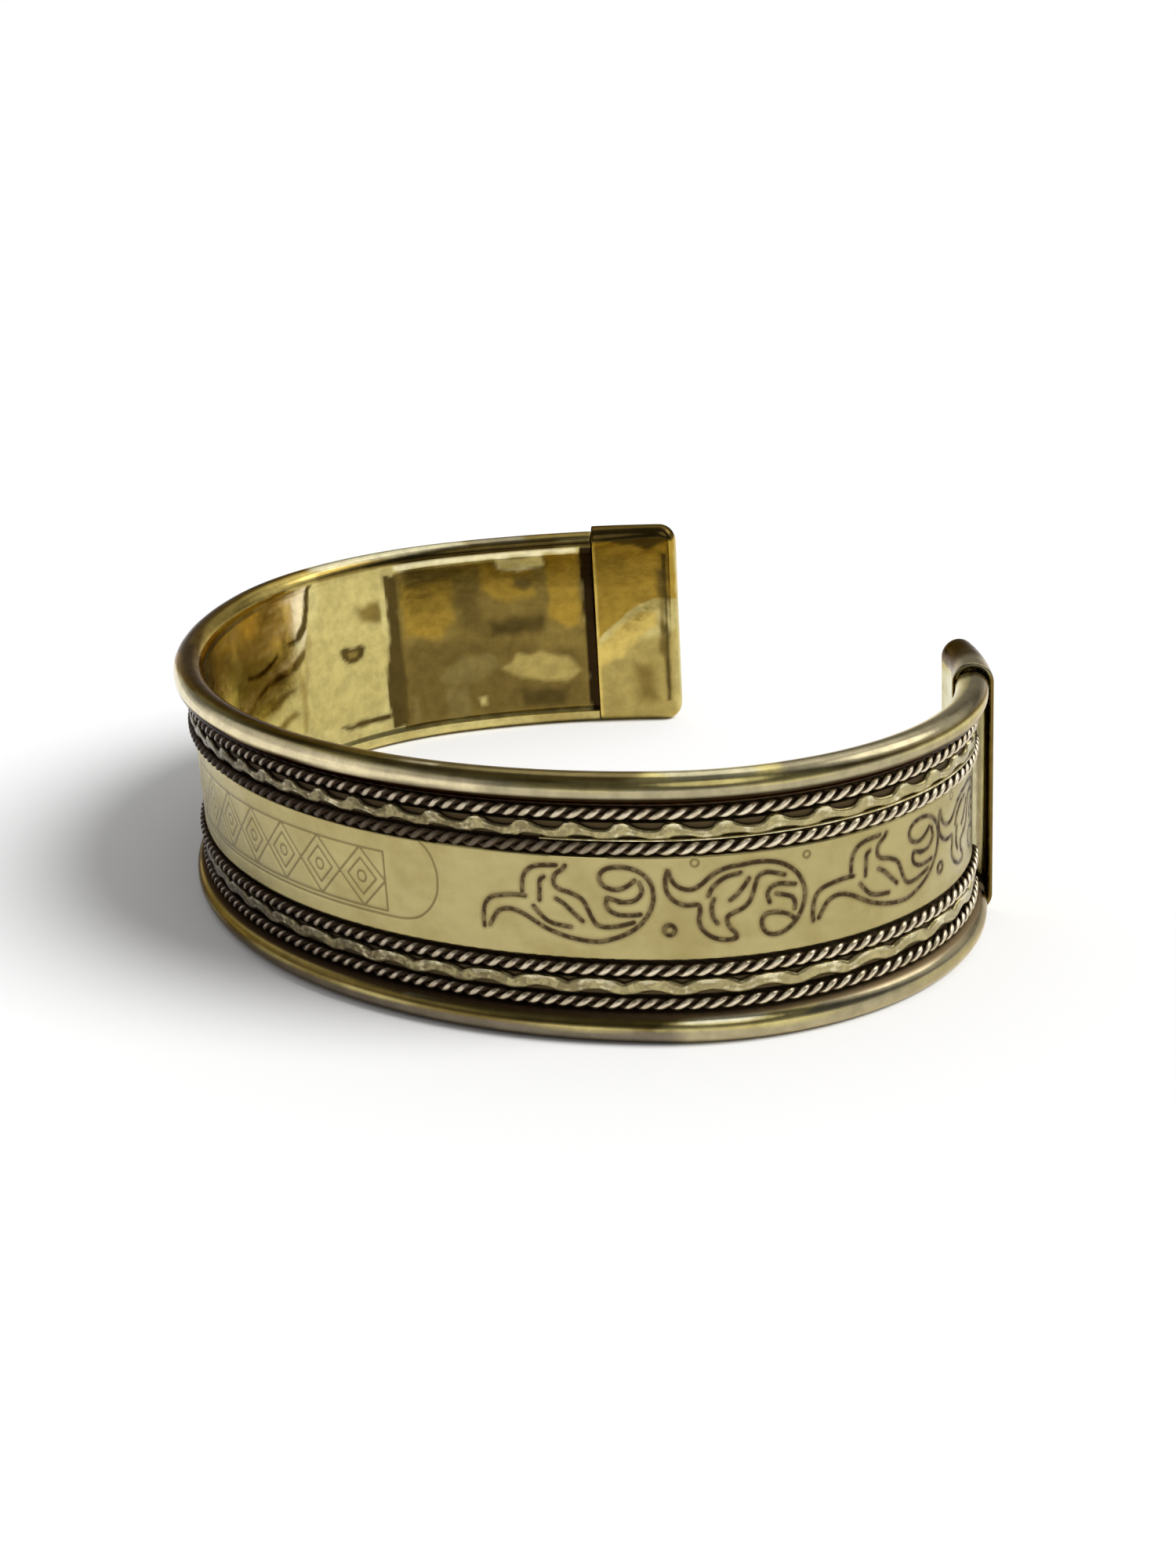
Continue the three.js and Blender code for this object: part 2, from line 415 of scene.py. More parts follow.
GOLD = (0.66, 0.56, 0.22, 1.0)
GOLD_DEEP = (0.44, 0.34, 0.11, 1.0)
PATINA = (0.085, 0.052, 0.028, 1.0)
PATINA_THIN = (0.22, 0.16, 0.085, 1.0)
PALE, STRAW, SUN = (0.58, 0.48, 0.17), (0.42, 0.32, 0.095), (0.66, 0.49, 0.13)
HONEY, BUTTER, GLINT = (0.92, 0.77, 0.46), (0.84, 0.75, 0.44), (0.97, 0.90, 0.62)
OLIVE, AMBER, DUSK = (0.64, 0.55, 0.27), (0.40, 0.255, 0.038), (0.235, 0.165, 0.040)
CREAM, ASH, HAZE = (0.60, 0.54, 0.33), (0.30, 0.26, 0.16), (0.215, 0.160, 0.048)
# The last colour on the next line is only used for painted shadows.
BROWN, UMBER, SHADOW_BLACK = (0.165, 0.112, 0.028), (0.092, 0.062, 0.016), (0.025, 0.014, 0.005)
BEIGE, GREY_BRASS, DUN = (0.76, 0.65, 0.40), (0.43, 0.37, 0.22), (0.23, 0.180, 0.075)
TAUPE = (0.20, 0.165, 0.115)
# Painted reflections and shade inside the left arm, with some dark spots of tarnish, each a colour, how
# soft its edge is in mm, and its outline (s, z).
INNER_TARNISH_AND_PAINTED_LIGHT = (
    (HONEY, 8.0, ((-9, 24), (-30, 24), (-30, 3), (-9, 3))),
    (HONEY, 0.3, ((-22, 16), (-37.4, 16), (-37.0, 14.5), (-36.3, 13), (-36.6, 11.5), (-36.2, 10.2),
                  (-34.5, 9.3), (-32, 8.7), (-29, 8.3), (-22, 8))),
    (OLIVE, 0.8, ((-23.5, 12.5), (-30, 10.8), (-36, 11.5), (-36.2, 10.0), (-30, 8.6), (-24, 8.4))),
    (PALE, 0.5, ((-26, 7.6), (-30, 8.0), (-33, 8.3), (-36, 8.9), (-35.4, 5), (-35, 2.5), (-26, 2.5))),
    (DUSK, 0.5, ((-29, 6.6), (-33.5, 7.6), (-34.6, 7.2), (-31, 6.2))),
    (DUSK, 0.5, ((-31, 4.9), (-34, 5.6), (-34.8, 5.2), (-32, 4.4))),
    (PALE, 0.35, ((-38.3, 15.1), (-44.2, 15.3), (-44.6, 13.5), (-44.3, 11), (-44.7, 9), (-44.2, 6),
                  (-43.9, 3.1), (-40, 2.6), (-36.4, 3.0), (-35.8, 5), (-36.4, 8), (-37, 9.5),
                  (-37.7, 12))),
    (STRAW, 0.45, ((-35.1, 8.2), (-35.9, 8.0), (-36.0, 5.5), (-35.6, 3.2), (-35.0, 3.4), (-35.2, 5.5))),
    (UMBER, 0.25, ((-27.4, 10.25), (-29, 9.95), (-30.5, 10.0), (-32.6, 10.6), (-32.7, 10.3),
                   (-31, 9.65), (-29, 9.6), (-27.4, 9.95))),
    (UMBER, 0.25, ((-34.0, 11.1), (-35.2, 11.2), (-36.0, 12.2), (-36.5, 13.4), (-36.9, 15.2),
                   (-37.5, 15.2), (-37.0, 13), (-36.6, 11.6), (-35.6, 10.8), (-34.2, 10.75))),
    (BROWN, 0.35, ((-28, 8.1), (-31, 8.9), (-34, 8.9), (-36.1, 10.3), (-36.6, 10.2), (-36.0, 9.2),
                   (-34, 8.4), (-31, 8.4), (-28, 7.8))),
    (UMBER, 0.3, ((-39.9, 9.0), (-40.5, 9.2), (-41.2, 9.0), (-42.0, 9.2), (-42.6, 8.9), (-42.2, 8.1),
                  (-41.5, 7.7), (-40.8, 7.8), (-40.2, 8.3))),
    (DUSK, 0.25, ((-40.7, 8.7), (-41.8, 8.6), (-41.6, 8.2), (-40.9, 8.2))),
    (DUSK, 0.7, ((-41.9, 12.1), (-44.2, 12.3), (-44.3, 10.6), (-42.4, 10.8))),
    (DUSK, 0.35, ((-45.6, 14.4), (-61.8, 14.6), (-62.0, 1.2), (-45.6, 1.2))),
    (BROWN, 1.6, ((-46, 8.2), (-52, 8.0), (-61.5, 7.4), (-61.5, 1.5), (-46, 1.6))),
    (AMBER, 0.9, ((-46.3, 13.1), (-50.8, 13.2), (-50.6, 9.6), (-49.6, 8.4), (-46.4, 9.0))),
    (AMBER, 1.0, ((-53.4, 14.0), (-57.5, 13.4), (-57.6, 11.2), (-55, 10.9), (-53.2, 12))),
    (BROWN, 0.8, ((-51.2, 12.2), (-52.8, 12.4), (-53.2, 9.4), (-58.4, 10.0), (-58.6, 8.0), (-54, 7.8),
                  (-51.6, 8.6))),
    (UMBER, 0.8, ((-53.8, 9.1), (-58.2, 9.3), (-58.4, 8.3), (-54, 8.1))),
    (BROWN, 0.5, ((-56.0, 12.9), (-57.2, 12.9), (-57.6, 12.1), (-56.8, 11.7), (-55.9, 12.1))),
    (AMBER, 0.5, ((-58.7, 14.8), (-61.5, 14.8), (-61.4, 8.6), (-60.2, 8.3), (-58.9, 9.3))),
    (DUSK, 1.0, ((-57.5, 7.8), (-61.5, 7.9), (-61.5, 6.6), (-58, 6.4))),
    # A painted highlight along the top of the inner face, with a painted glint inside it.
    (BUTTER, 0.4, ((-45.4, 15.5), (-61.4, 15.4), (-61.4, 14.5), (-58.8, 14.6), (-52, 14.3),
                   (-45.8, 14.5))),
    (GLINT, 0.3, ((-54.6, 14.35), (-58.5, 14.4), (-58.6, 13.65), (-56.5, 13.3), (-54.7, 13.65))),
    (HAZE, 0.8, ((-49.2, 4.9), (-50.4, 6.1), (-52, 6.7), (-53.9, 6.4), (-54.3, 5.3), (-52.4, 4.4),
                (-50.4, 4.2))),
    (STRAW, 0.5, ((-54.6, 5.2), (-56, 6.2), (-58, 6.35), (-60.2, 5.8), (-61.3, 4.6), (-60, 3.7),
                  (-58, 3.9), (-56, 4.4))),
    (UMBER, 0.8, ((-56, 3.3), (-60, 3.1), (-59.6, 1.7), (-56.2, 1.8))),
    (HAZE, 0.5, ((-46.6, 3.6), (-47.1, 3.6), (-47.2, 1.4), (-46.7, 1.4))),
    (HAZE, 0.6, ((-49.6, 4.0), (-51.5, 4.0), (-51.5, 1.4), (-49.8, 1.4))),
    (PALE, 0.3, ((-52.4, 3.0), (-53.0, 3.0), (-53.1, 2.2), (-52.5, 2.2))),
    (UMBER, 0.35, ((-44.7, 14.4), (-46.0, 14.2), (-45.9, 9), (-46.2, 5), (-46.0, 1.5), (-44.5, 1.4),
                   (-44.3, 5), (-44.8, 9))),
    (UMBER, 0.35, ((-39.3, 2.75), (-44.6, 2.95), (-44.6, 2.3), (-40.4, 2.2))),
    # A painted shadow at the step where the cap's mouth stands proud of the inner face.
    (SHADOW_BLACK, 0.16, ((-61.55, 16), (-62.9, 16), (-62.9, 0), (-61.9, 0))),
)
# Painted reflections, highlights and shade on the rims, with some tarnish, outlined by s and by the angle
# round the rim, with 0 outward and 90 up.
UPPER_RIM_TARNISH_AND_PAINTED_LIGHT = (
    (BROWN, 0.3, ((-45, -60), (-4, -60), (-4, 200), (-45, 200))),
    (BEIGE, 0.25, ((-17, 4), (-12, 40), (-6, 56), (4, 54), (15, 44), (24, 32), (26, 20), (27, -50),
                   (-16, -50))),
    (GREY_BRASS, 0.25, ((23, 22), (40, 15), (62, 12), (62, -50), (23, -50))),
    (ASH, 0.25, ((39, 30), (62, 24), (62, 110), (39, 120))),
    # Painted glints.
    (CREAM, 0.2, ((32.5, 100), (33.5, 48), (37, 42), (38.5, 55), (38, 100))),
    (DUSK, 0.3, ((-60, -50), (-19, -50), (-17, 20), (-12, 50), (-4, 58), (4, 56), (12, 50), (20, 40),
                 (27, 33), (31, 31), (32, 60), (32, 200), (-60, 200))),
    (BROWN, 0.3, ((-32, -40), (-18, -40), (-14, 60), (-6, 68), (4, 66), (12, 60), (14, 110), (10, 180),
                  (-22, 150), (-32, 100))),
    (UMBER, 0.3, ((-16, 84), (-6, 78), (4, 76), (8, 84), (6, 120), (-16, 120))),
    (DUN, 0.3, ((16, 64), (24, 58), (32, 56), (32, 130), (17, 130))),
    # Painted glints.
    (BEIGE, 0.12, ((17.2, 74), (20.0, 70), (20.2, 76), (17.6, 82))),
    (BROWN, 0.12, ((8, 64), (20, 48), (30, 36), (44, 29), (60, 27), (60, 20), (44, 22), (30, 29),
                   (20, 41), (8, 56))),
    (HAZE, 0.25, ((-63, 50), (-57, 50), (-56, 142), (-63, 146))),
    (ASH, 0.25, ((-57, 50), (-52.5, 50), (-52, 138), (-57, 140))),
    (CREAM, 0.25, ((-52.5, 50), (-38, 50), (-38, 134), (-46, 148), (-52.5, 138))),
    (BROWN, 0.3, ((-37.5, -40), (-20, -40), (-20, 112), (-38, 112))),
    (STRAW, 0.3, ((-37.5, 118), (-20, 124), (-14, 150), (-14, 200), (-38, 200), (-38, 134))),
    (UMBER, 0.2, ((-63, 146), (-52, 152), (-43, 162), (-43, 178), (-63, 184))),
    # A painted shadow along the underside of the upper rim, above the rope.
    (SHADOW_BLACK, 0.15, ((-30, -12), (0, -8), (30, -16), (62, -26), (62, -75), (-30, -75))),
    (UMBER, 0.3, ((-34, -60), (-19, -60), (-16, 20), (-14, 70), (-18, 95), (-34, 95))),
)
LOWER_RIM_TARNISH_AND_PAINTED_LIGHT = (
    (GREY_BRASS, 0.3, ((30, 8), (62, 5), (62, -90), (30, -90))),
    (TAUPE, 0.3, ((-45, 14), (0, 14), (33, 8), (33, -120), (-45, -120))),
    (BROWN, 0.25, ((-45, 10), (0, 12), (32, 6), (34, 60), (34, 140), (-45, 140))),
    (UMBER, 0.15, ((-45, 66), (5, 60), (31, 50), (33, 64), (5, 82), (-45, 86))),
    (STRAW, 0.15, ((-12, 46), (10, 38), (30, 30), (32, 37), (10, 49), (-12, 56))),
    # Painted glints.
    (BUTTER, 0.10, ((16.5, 42), (19.5, 38), (19.6, 45), (16.8, 48))),
    (UMBER, 0.12, ((2, 23), (20, 15), (33, 12), (33, 22), (20, 25), (2, 32))),
    # Painted glints.
    (GLINT, 0.15, ((33.5, 34), (35, 28), (38, 36), (38.5, 58), (35, 60))),
    (ASH, 0.2, ((39, 10), (62, 8), (62, 80), (42, 80))),
)
STRETCH = 0.2


def inside_by(points, outline):
    """How far each point lies inside an outline in mm, negative where it lies outside."""
    corners = np.array(outline, float)
    nearest = np.full(len(points), 1e9)
    inside = np.zeros(len(points), bool)
    for a, b in zip(corners, np.roll(corners, -1, axis=0)):
        ab = b - a
        k = np.clip(((points - a) @ ab) / max(ab @ ab, 1e-12), 0, 1)
        nearest = np.minimum(nearest, np.linalg.norm(points - a - k[:, None] * ab, axis=1))
        if a[1] != b[1]:
            level = (points[:, 1] > min(a[1], b[1])) & (points[:, 1] <= max(a[1], b[1]))
            cross = a[0] + (points[:, 1] - a[1]) * (b[0] - a[0]) / (b[1] - a[1])
            inside ^= level & (points[:, 0] < cross)
    return np.where(inside, nearest, -nearest)


def paint_tarnish_and_light(colours, points, tarnish_and_light_marks):
    """Lays charted patches of tarnish and painted light over colours (r, g, b, cover), with edges that
    waver a little.
    """
    waver = 0.12 * soft_noise(points[:, 0], points[:, 1], 1.6, 21)
    for colour, soft, outline in tarnish_and_light_marks:
        depth = inside_by(points, outline) + waver * min(1.0, soft * 2)
        cover = np.clip(depth / soft + 0.5, 0, 1)
        cover = cover * cover * (3 - 2 * cover)
        colours[:, :3] += (np.array(colour) - colours[:, :3]) * cover[:, None]
        colours[:, 3] = np.maximum(colours[:, 3], cover)


# Keeps the charted tarnish and painted reflections and shade as a colour with cover on each point.
def keep_tarnish_and_light(obj, colours):
    layer = obj.data.attributes.new("stain", "FLOAT_COLOR", "POINT")
    layer.data.foreach_set("color", colours.astype(np.float32).ravel())


def band_tarnish_and_light(verts):
    """The charted tarnish and painted reflections and shade at every point of the band. Along the rims
    their edges are drawn out by STRETCH.
    """
    count = 2 * RIM_POINTS + FLOOR_POINTS + INNER_POINTS
    place = np.array(verts).reshape(-1, count, 3)
    colours = np.zeros((place.shape[0], count, 4))
    colours[..., :3] = GOLD[:3]
    parts = (
        (slice(0, RIM_POINTS), RIM_RADIUS, LOWER_RIM_TARNISH_AND_PAINTED_LIGHT),
        (slice(RIM_POINTS + FLOOR_POINTS, 2 * RIM_POINTS + FLOOR_POINTS), HEIGHT - RIM_RADIUS,
         UPPER_RIM_TARNISH_AND_PAINTED_LIGHT),
        (slice(2 * RIM_POINTS + FLOOR_POINTS, count), None, INNER_TARNISH_AND_PAINTED_LIGHT),
    )
    for columns, centre, tarnish_and_light_marks in parts:
        s, t, z = (place[:, columns, i].ravel() for i in range(3))
        if centre is None:
            points = np.stack([s, z], 1)
        else:
            turn = np.degrees(np.arctan2(z - centre, t))
            turn = np.where(turn < -90, turn + 360, turn)
            arc = math.radians(RIM_RADIUS)
            points = np.stack([s * STRETCH, turn * arc], 1)
            tarnish_and_light_marks = [(colour, soft, [(a * STRETCH, b * arc) for a, b in outline])
                      for colour, soft, outline in tarnish_and_light_marks]
        part = colours[:, columns].reshape(-1, 4).copy()
        paint_tarnish_and_light(part, points, tarnish_and_light_marks)
        colours[:, columns] = part.reshape(place.shape[0], -1, 4)
    return colours.reshape(-1, 4)


def polished_brass(name, seed, channel=True):
    """Worn polish with browner clouds, the charted tarnish with painted reflections and shade, fine
    scratches, and black patina in the channel.
    """
    material, tree, shader = new_material(name)
    place = flat_place(tree)
    clouds = noise(tree, place, 0.16 + 0.01 * seed, 4.0, 0.6)
    colour = blend_colour(tree, band_range(tree, clouds, 0.42, 0.68), GOLD, GOLD_DEEP)
    # The charted colours hold painted reflections, highlights and shade as well as tarnish, and they also
    # set the edge tint.
    stain = put(tree, "ShaderNodeAttribute", attribute_name="stain")
    colour = blend_colour(tree, stain.outputs["Alpha"], colour, stain.outputs["Color"])
    mottle = band_range(tree, noise(tree, place, 0.9, 5.0, 0.65), 0.3, 0.7, 0.82, 1.1)
    colour = put(tree, "ShaderNodeVectorMath", {0: colour, 1: put(
        tree, "ShaderNodeCombineXYZ", {0: mottle, 1: mottle, 2: mottle}).outputs[0]},
        operation="MULTIPLY").outputs[0]
    smear = noise(tree, flat_place(tree, (0.3, 1.0, 1.0)), 1.1, 5.0, 0.6)
    rough = band_range(tree, smear, 0.35, 0.75, 0.11, 0.24)
    if channel:
        s, t, z = put(tree, "ShaderNodeSeparateXYZ", {0: place}).outputs
        floor = maths(tree, "MULTIPLY", band_range(tree, z, 1.5, 1.75),
                      band_range(tree, z, HEIGHT - 1.5, HEIGHT - 1.75))
        floor = maths(tree, "MULTIPLY", floor, band_range(tree, t, -0.6, -0.5))
        patina = blend_colour(tree, band_range(tree, s, 22, 46), PATINA, PATINA_THIN)
        colour = blend_colour(tree, floor, colour, patina)
        rough = maths(tree, "MAXIMUM", rough, maths(tree, "MULTIPLY", floor, 0.6))
    tree.links.new(colour, shader.inputs["Base Color"])
    tree.links.new(rough, shader.inputs["Roughness"])
    edge = put(tree, "ShaderNodeVectorMath",
               {0: stain.outputs["Color"], 1: (1.5, 1.45, 1.45), 2: (0.36, 0.36, 0.40)},
               operation="MULTIPLY_ADD").outputs[0]
    edge = put(tree, "ShaderNodeVectorMath", {0: edge, 1: (1.0, 1.0, 1.0)},
               operation="MINIMUM").outputs[0]
    edge = blend_colour(tree, stain.outputs["Alpha"], (0.95, 0.92, 0.80, 1.0), edge)
    tree.links.new(edge, shader.inputs["Specular Tint"])
    shader.inputs["Metallic"].default_value = 1.0
    scratch = noise(tree, flat_place(tree, (0.12, 1.0, 1.0)), 9.0, 3.0, 0.6)
    first = bump(tree, scratch, 0.10, 0.00001)
    second = bump(tree, noise(tree, place, 0.9, 2.0), 0.35, 0.00003, first)
    tree.links.new(second, shader.inputs["Normal"])
    return material


BAND_BRASS = polished_brass("polished_brass", 0)
band_verts, band_faces = band_mesh()
band = flat_object("band_sheet_and_rims", band_verts, band_faces)
keep_tarnish_and_light(band, band_tarnish_and_light(band_verts))
bend_piece(band, BAND_BRASS, 60)
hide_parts("band")

# Centre plate
# Flat brass strip soldered in the middle of the channel. Leaf scrolls, small rings and a long
# cartouche are cut into it with a graver, and dark patina is left in the cuts.
PLATE_HALF = 3.14
PLATE_T0 = FLOOR + GAP
PLATE_T1 = PLATE_T0 + 0.35
PLATE_MIDDLE = -0.85
LEAF_STARTS, HANGING_STARTS, RING_STARTS = (0.0, 19.0), (0.0, 18.4), (0.0, 18.45)
LEAF_SCROLL = (
    ((23.05, 6.4), (23.05, 7.1), (23.2, 7.75), (23.6, 8.2), (24.3, 8.4), (25.1, 8.5), (25.7, 8.48)),
    ((25.55, 8.75), (25.6, 9.4), (25.8, 9.9), (26.2, 10.25), (26.8, 10.4), (27.65, 10.45)),
    ((28.17, 10.45), (27.95, 10.2), (27.6, 9.95), (27.45, 9.6), (27.5, 9.25), (27.8, 9.02),
     (28.3, 8.88), (28.8, 8.65), (29.1, 8.4), (29.3, 8.0), (29.5, 7.5), (29.75, 7.05),
     (30.1, 6.88), (30.7, 6.88), (31.3, 7.0), (31.9, 7.17)),
    ((23.4, 6.5), (23.7, 7.0), (24.0, 7.4), (24.5, 7.6), (25.0, 7.58), (25.6, 7.35), (26.2, 7.0),
     (26.8, 6.65), (27.4, 6.4), (28.0, 6.2), (28.7, 6.05), (29.4, 5.97), (30.0, 5.98),
     (30.8, 6.2), (31.5, 6.5), (32.1, 6.9), (32.6, 7.45), (32.9, 8.0), (33.05, 8.6), (33.0, 9.3),
     (32.75, 9.8), (32.3, 10.2), (31.7, 10.42), (31.1, 10.47), (30.5, 10.35), (30.15, 10.05),
     (30.1, 9.7), (30.3, 9.35), (30.7, 9.15), (31.2, 9.15), (31.7, 9.38), (32.05, 9.67)),
    ((32.3, 9.55), (32.42, 9.2), (32.4, 8.9), (32.1, 8.55), (31.7, 8.4), (31.1, 8.38)),
    ((30.45, 8.6), (30.4, 8.2), (30.55, 7.9), (30.85, 7.7), (31.2, 7.6), (31.8, 7.6), (32.3, 7.65)),
    ((30.5, 8.62), (30.9, 8.5), (31.3, 8.4)),
    ((26.88, 9.72), (26.65, 9.5), (26.6, 9.0), (26.55, 8.3)),
    ((26.18, 7.9), (26.5, 7.5), (26.9, 7.12), (27.4, 6.92), (28.3, 6.78)),
    ((27.53, 8.45), (28.0, 8.15), (28.5, 7.65), (29.0, 7.17)),
)
HANGING_SCROLL = (
    ((33.87, 10.22), (33.75, 9.7), (33.78, 9.1), (34.0, 8.65), (34.4, 8.32), (34.9, 8.17),
     (35.5, 8.17), (35.6, 7.8), (35.52, 7.3), (35.6, 6.85), (35.95, 6.4), (36.4, 6.12),
     (37.0, 5.98), (37.55, 6.05), (37.5, 6.38), (37.22, 6.7), (37.08, 7.1), (37.15, 7.4),
     (37.5, 7.58), (38.0, 7.8), (38.4, 8.2), (38.6, 8.7), (38.75, 9.2), (38.95, 9.6),
     (39.4, 9.75), (40.0, 9.6), (40.4, 9.45)),
    ((33.95, 10.2), (34.05, 9.8), (34.3, 9.4), (34.7, 9.15), (35.2, 9.1), (35.7, 9.35),
     (36.1, 9.7), (36.6, 10.05), (37.3, 10.28), (38.0, 10.35), (38.6, 10.42), (39.3, 10.4),
     (40.0, 10.25), (40.6, 9.95), (41.1, 9.5), (41.4, 9.0), (41.58, 8.4), (41.55, 7.8),
     (41.35, 7.2), (41.1, 6.75), (40.7, 6.35), (40.2, 6.07), (39.7, 6.0), (39.3, 6.15),
     (39.05, 6.55), (39.05, 7.0), (39.3, 7.28), (39.7, 7.32), (40.3, 7.2), (40.7, 6.98),
     (40.95, 6.72)),
    ((39.5, 7.95), (39.4, 8.45), (39.6, 8.82), (40.05, 8.97), (40.6, 8.88), (41.0, 8.8)),
    ((39.9, 8.4), (40.35, 8.27), (40.8, 8.08), (40.97, 7.75), (40.95, 7.35)),
    ((36.1, 8.67), (36.3, 9.1), (36.7, 9.48), (37.2, 9.75), (37.9, 9.88)),
    ((37.3, 8.33), (37.7, 8.65), (38.1, 9.1), (38.37, 9.5)),
    ((36.38, 8.45), (36.25, 8.0), (36.3, 7.4), (36.53, 7.0)),
)
PUNCHED_RING = (33.87, 6.72, 0.3)
FAINT_RINGS = ((35.4, 10.66, 0.22), (41.75, 10.42, 0.2))
CARTOUCHE_END = ((19.15, 10.95), (19.55, 10.6), (19.9, 10.05), (20.13, 9.3), (20.15, 8.6),
                 (20.05, 7.95), (19.75, 7.3), (19.3, 6.75), (18.7, 6.3), (18.0, 6.07), (17.2, 5.97))
LOZENGES = 9
PANEL_HALF, PANEL_LOW, PANEL_HIGH = 16.4, 6.25, 9.95
PLATE_COLUMNS, PLATE_ROWS = 1230, 62


def between(a, b, c, d, k):
    """The point at share k from b to c on a smooth curve through all four."""
    return 0.5 * ((2 * b) + (c - a) * k + (2 * a - 5 * b + 4 * c - d) * k * k
                  + (3 * b - a - 3 * c + d) * k ** 3)


def smooth_line(points, step=0.06):
    """A smooth curve through the points, as short segments."""
    p = np.array([points[0]] + list(points) + [points[-1]], float)
    out = []
    for i in range(1, len(p) - 2):
        a, b, c, d = p[i - 1], p[i], p[i + 1], p[i + 2]
        n = max(2, int(np.linalg.norm(c - b) / step))
        for k in np.linspace(0, 1, n, endpoint=False):
            out.append(between(a, b, c, d, k))
    out.append(p[-2])
    return np.array(out)


def circle_line(s, z, radius):
    a = np.linspace(0, 2 * math.pi, 25)
    return np.stack([s + radius * np.cos(a), z + radius * np.sin(a)], 1)


def bold_lines():
    """Scrolls and rings from the cartouche to the caps, the same on both sides."""
    lines = []
    for strokes, starts in ((LEAF_SCROLL, LEAF_STARTS), (HANGING_SCROLL, HANGING_STARTS)):
        for start in starts:
            lines += [smooth_line(stroke) + (start, 0.0) for stroke in strokes]
    for start in RING_STARTS:
        s, z, radius = PUNCHED_RING
        lines.append(circle_line(s + start, z, radius))
    return lines + [line * (-1.0, 1.0) for line in lines]


def fine_lines():
    """Cartouche with rounded ends, round a row of lozenges with a small ring in each."""
    end = smooth_line(CARTOUCHE_END)
    lines = [end, end * (-1.0, 1.0), np.array([(-17.2, 5.97), (17.2, 5.97)])]
    low, high, mid = PANEL_LOW, PANEL_HIGH, (PANEL_LOW + PANEL_HIGH) / 2
    lines.append(np.array([(-PANEL_HALF, low), (-PANEL_HALF, high), (PANEL_HALF, high),
                           (PANEL_HALF, low), (-PANEL_HALF, low)]))
    width = 2 * PANEL_HALF / LOZENGES
    for i in range(LOZENGES):
        c = -PANEL_HALF + width * (i + 0.5)
        for k in (1.0, 0.62):
            w, h = k * width / 2, k * (high - low) / 2
            lines.append(np.array([(c - w, mid), (c, mid + h), (c + w, mid), (c, mid - h),
                                   (c - w, mid)]))
        lines.append(circle_line(c, mid, 0.34))
    for start in RING_STARTS:
        for s, z, radius in FAINT_RINGS:
            ring = circle_line(s + start, z, radius)
            lines += [ring, ring * (-1.0, 1.0)]
    return lines


def distance_to(lines, s, z, reach=0.6):
    """Distance in mm from each point to the nearest line, up to reach."""
    best = np.full(s.shape, reach)
    for line in lines:
        low, high = line.min(0) - reach, line.max(0) + reach
        near = np.where((s > low[0]) & (s < high[0]) & (z > low[1]) & (z < high[1]))[0]
        if not len(near):
            continue
        p = np.stack([s[near], z[near]], 1)
        d = np.full(len(near), reach)
        for a, b in zip(line[:-1], line[1:]):
            ab = b - a
            k = np.clip(((p - a) @ ab) / max(ab @ ab, 1e-12), 0, 1)
            d = np.minimum(d, np.linalg.norm(p - a - k[:, None] * ab, axis=1))
        best[near] = np.minimum(best[near], d)
    return best


def plate_mesh():
    """A fine grid over the plate's face, its cuts pressed in, folded back over edges and ends."""
    s = np.linspace(OPEN_LEFT, OPEN_RIGHT, PLATE_COLUMNS)
    face_z = np.linspace(-1, 1, PLATE_ROWS) * (PLATE_HALF - 0.1) + MID
    z = np.concatenate([[MID - PLATE_HALF] * 2, face_z, [MID + PLATE_HALF] * 2])
    t = np.full(len(z), PLATE_T1)
    t[[0, -1]] = PLATE_T0
    t[[1, -2]] = PLATE_T1 - 0.12
    grid_s, grid_z = np.meshgrid(s, z, indexing="ij")
    grid_t = np.tile(t, (len(s), 1))
    flat_s, flat_z = grid_s.ravel(), grid_z.ravel()
    cut_s, cut_z = flat_s - PLATE_MIDDLE, flat_z - 0.04
    bold = distance_to(bold_lines(), cut_s, cut_z)
    fine = distance_to(fine_lines(), cut_s, cut_z)
    cut = 0.07 * np.clip(1 - bold / 0.15, 0, 1) + 0.03 * np.clip(1 - fine / 0.12, 0, 1)
    face = np.abs(grid_t.ravel() - PLATE_T1) < 1e-9
    wave = 0.018 * soft_noise(flat_s, flat_z, 9.0, 11)
    flat_t = grid_t.ravel() - np.where(face, cut - wave + 0.018, 0.0)
    verts = list(zip(flat_s, flat_t, flat_z))
    return verts, ring_faces(len(s), len(z)), bold, fine


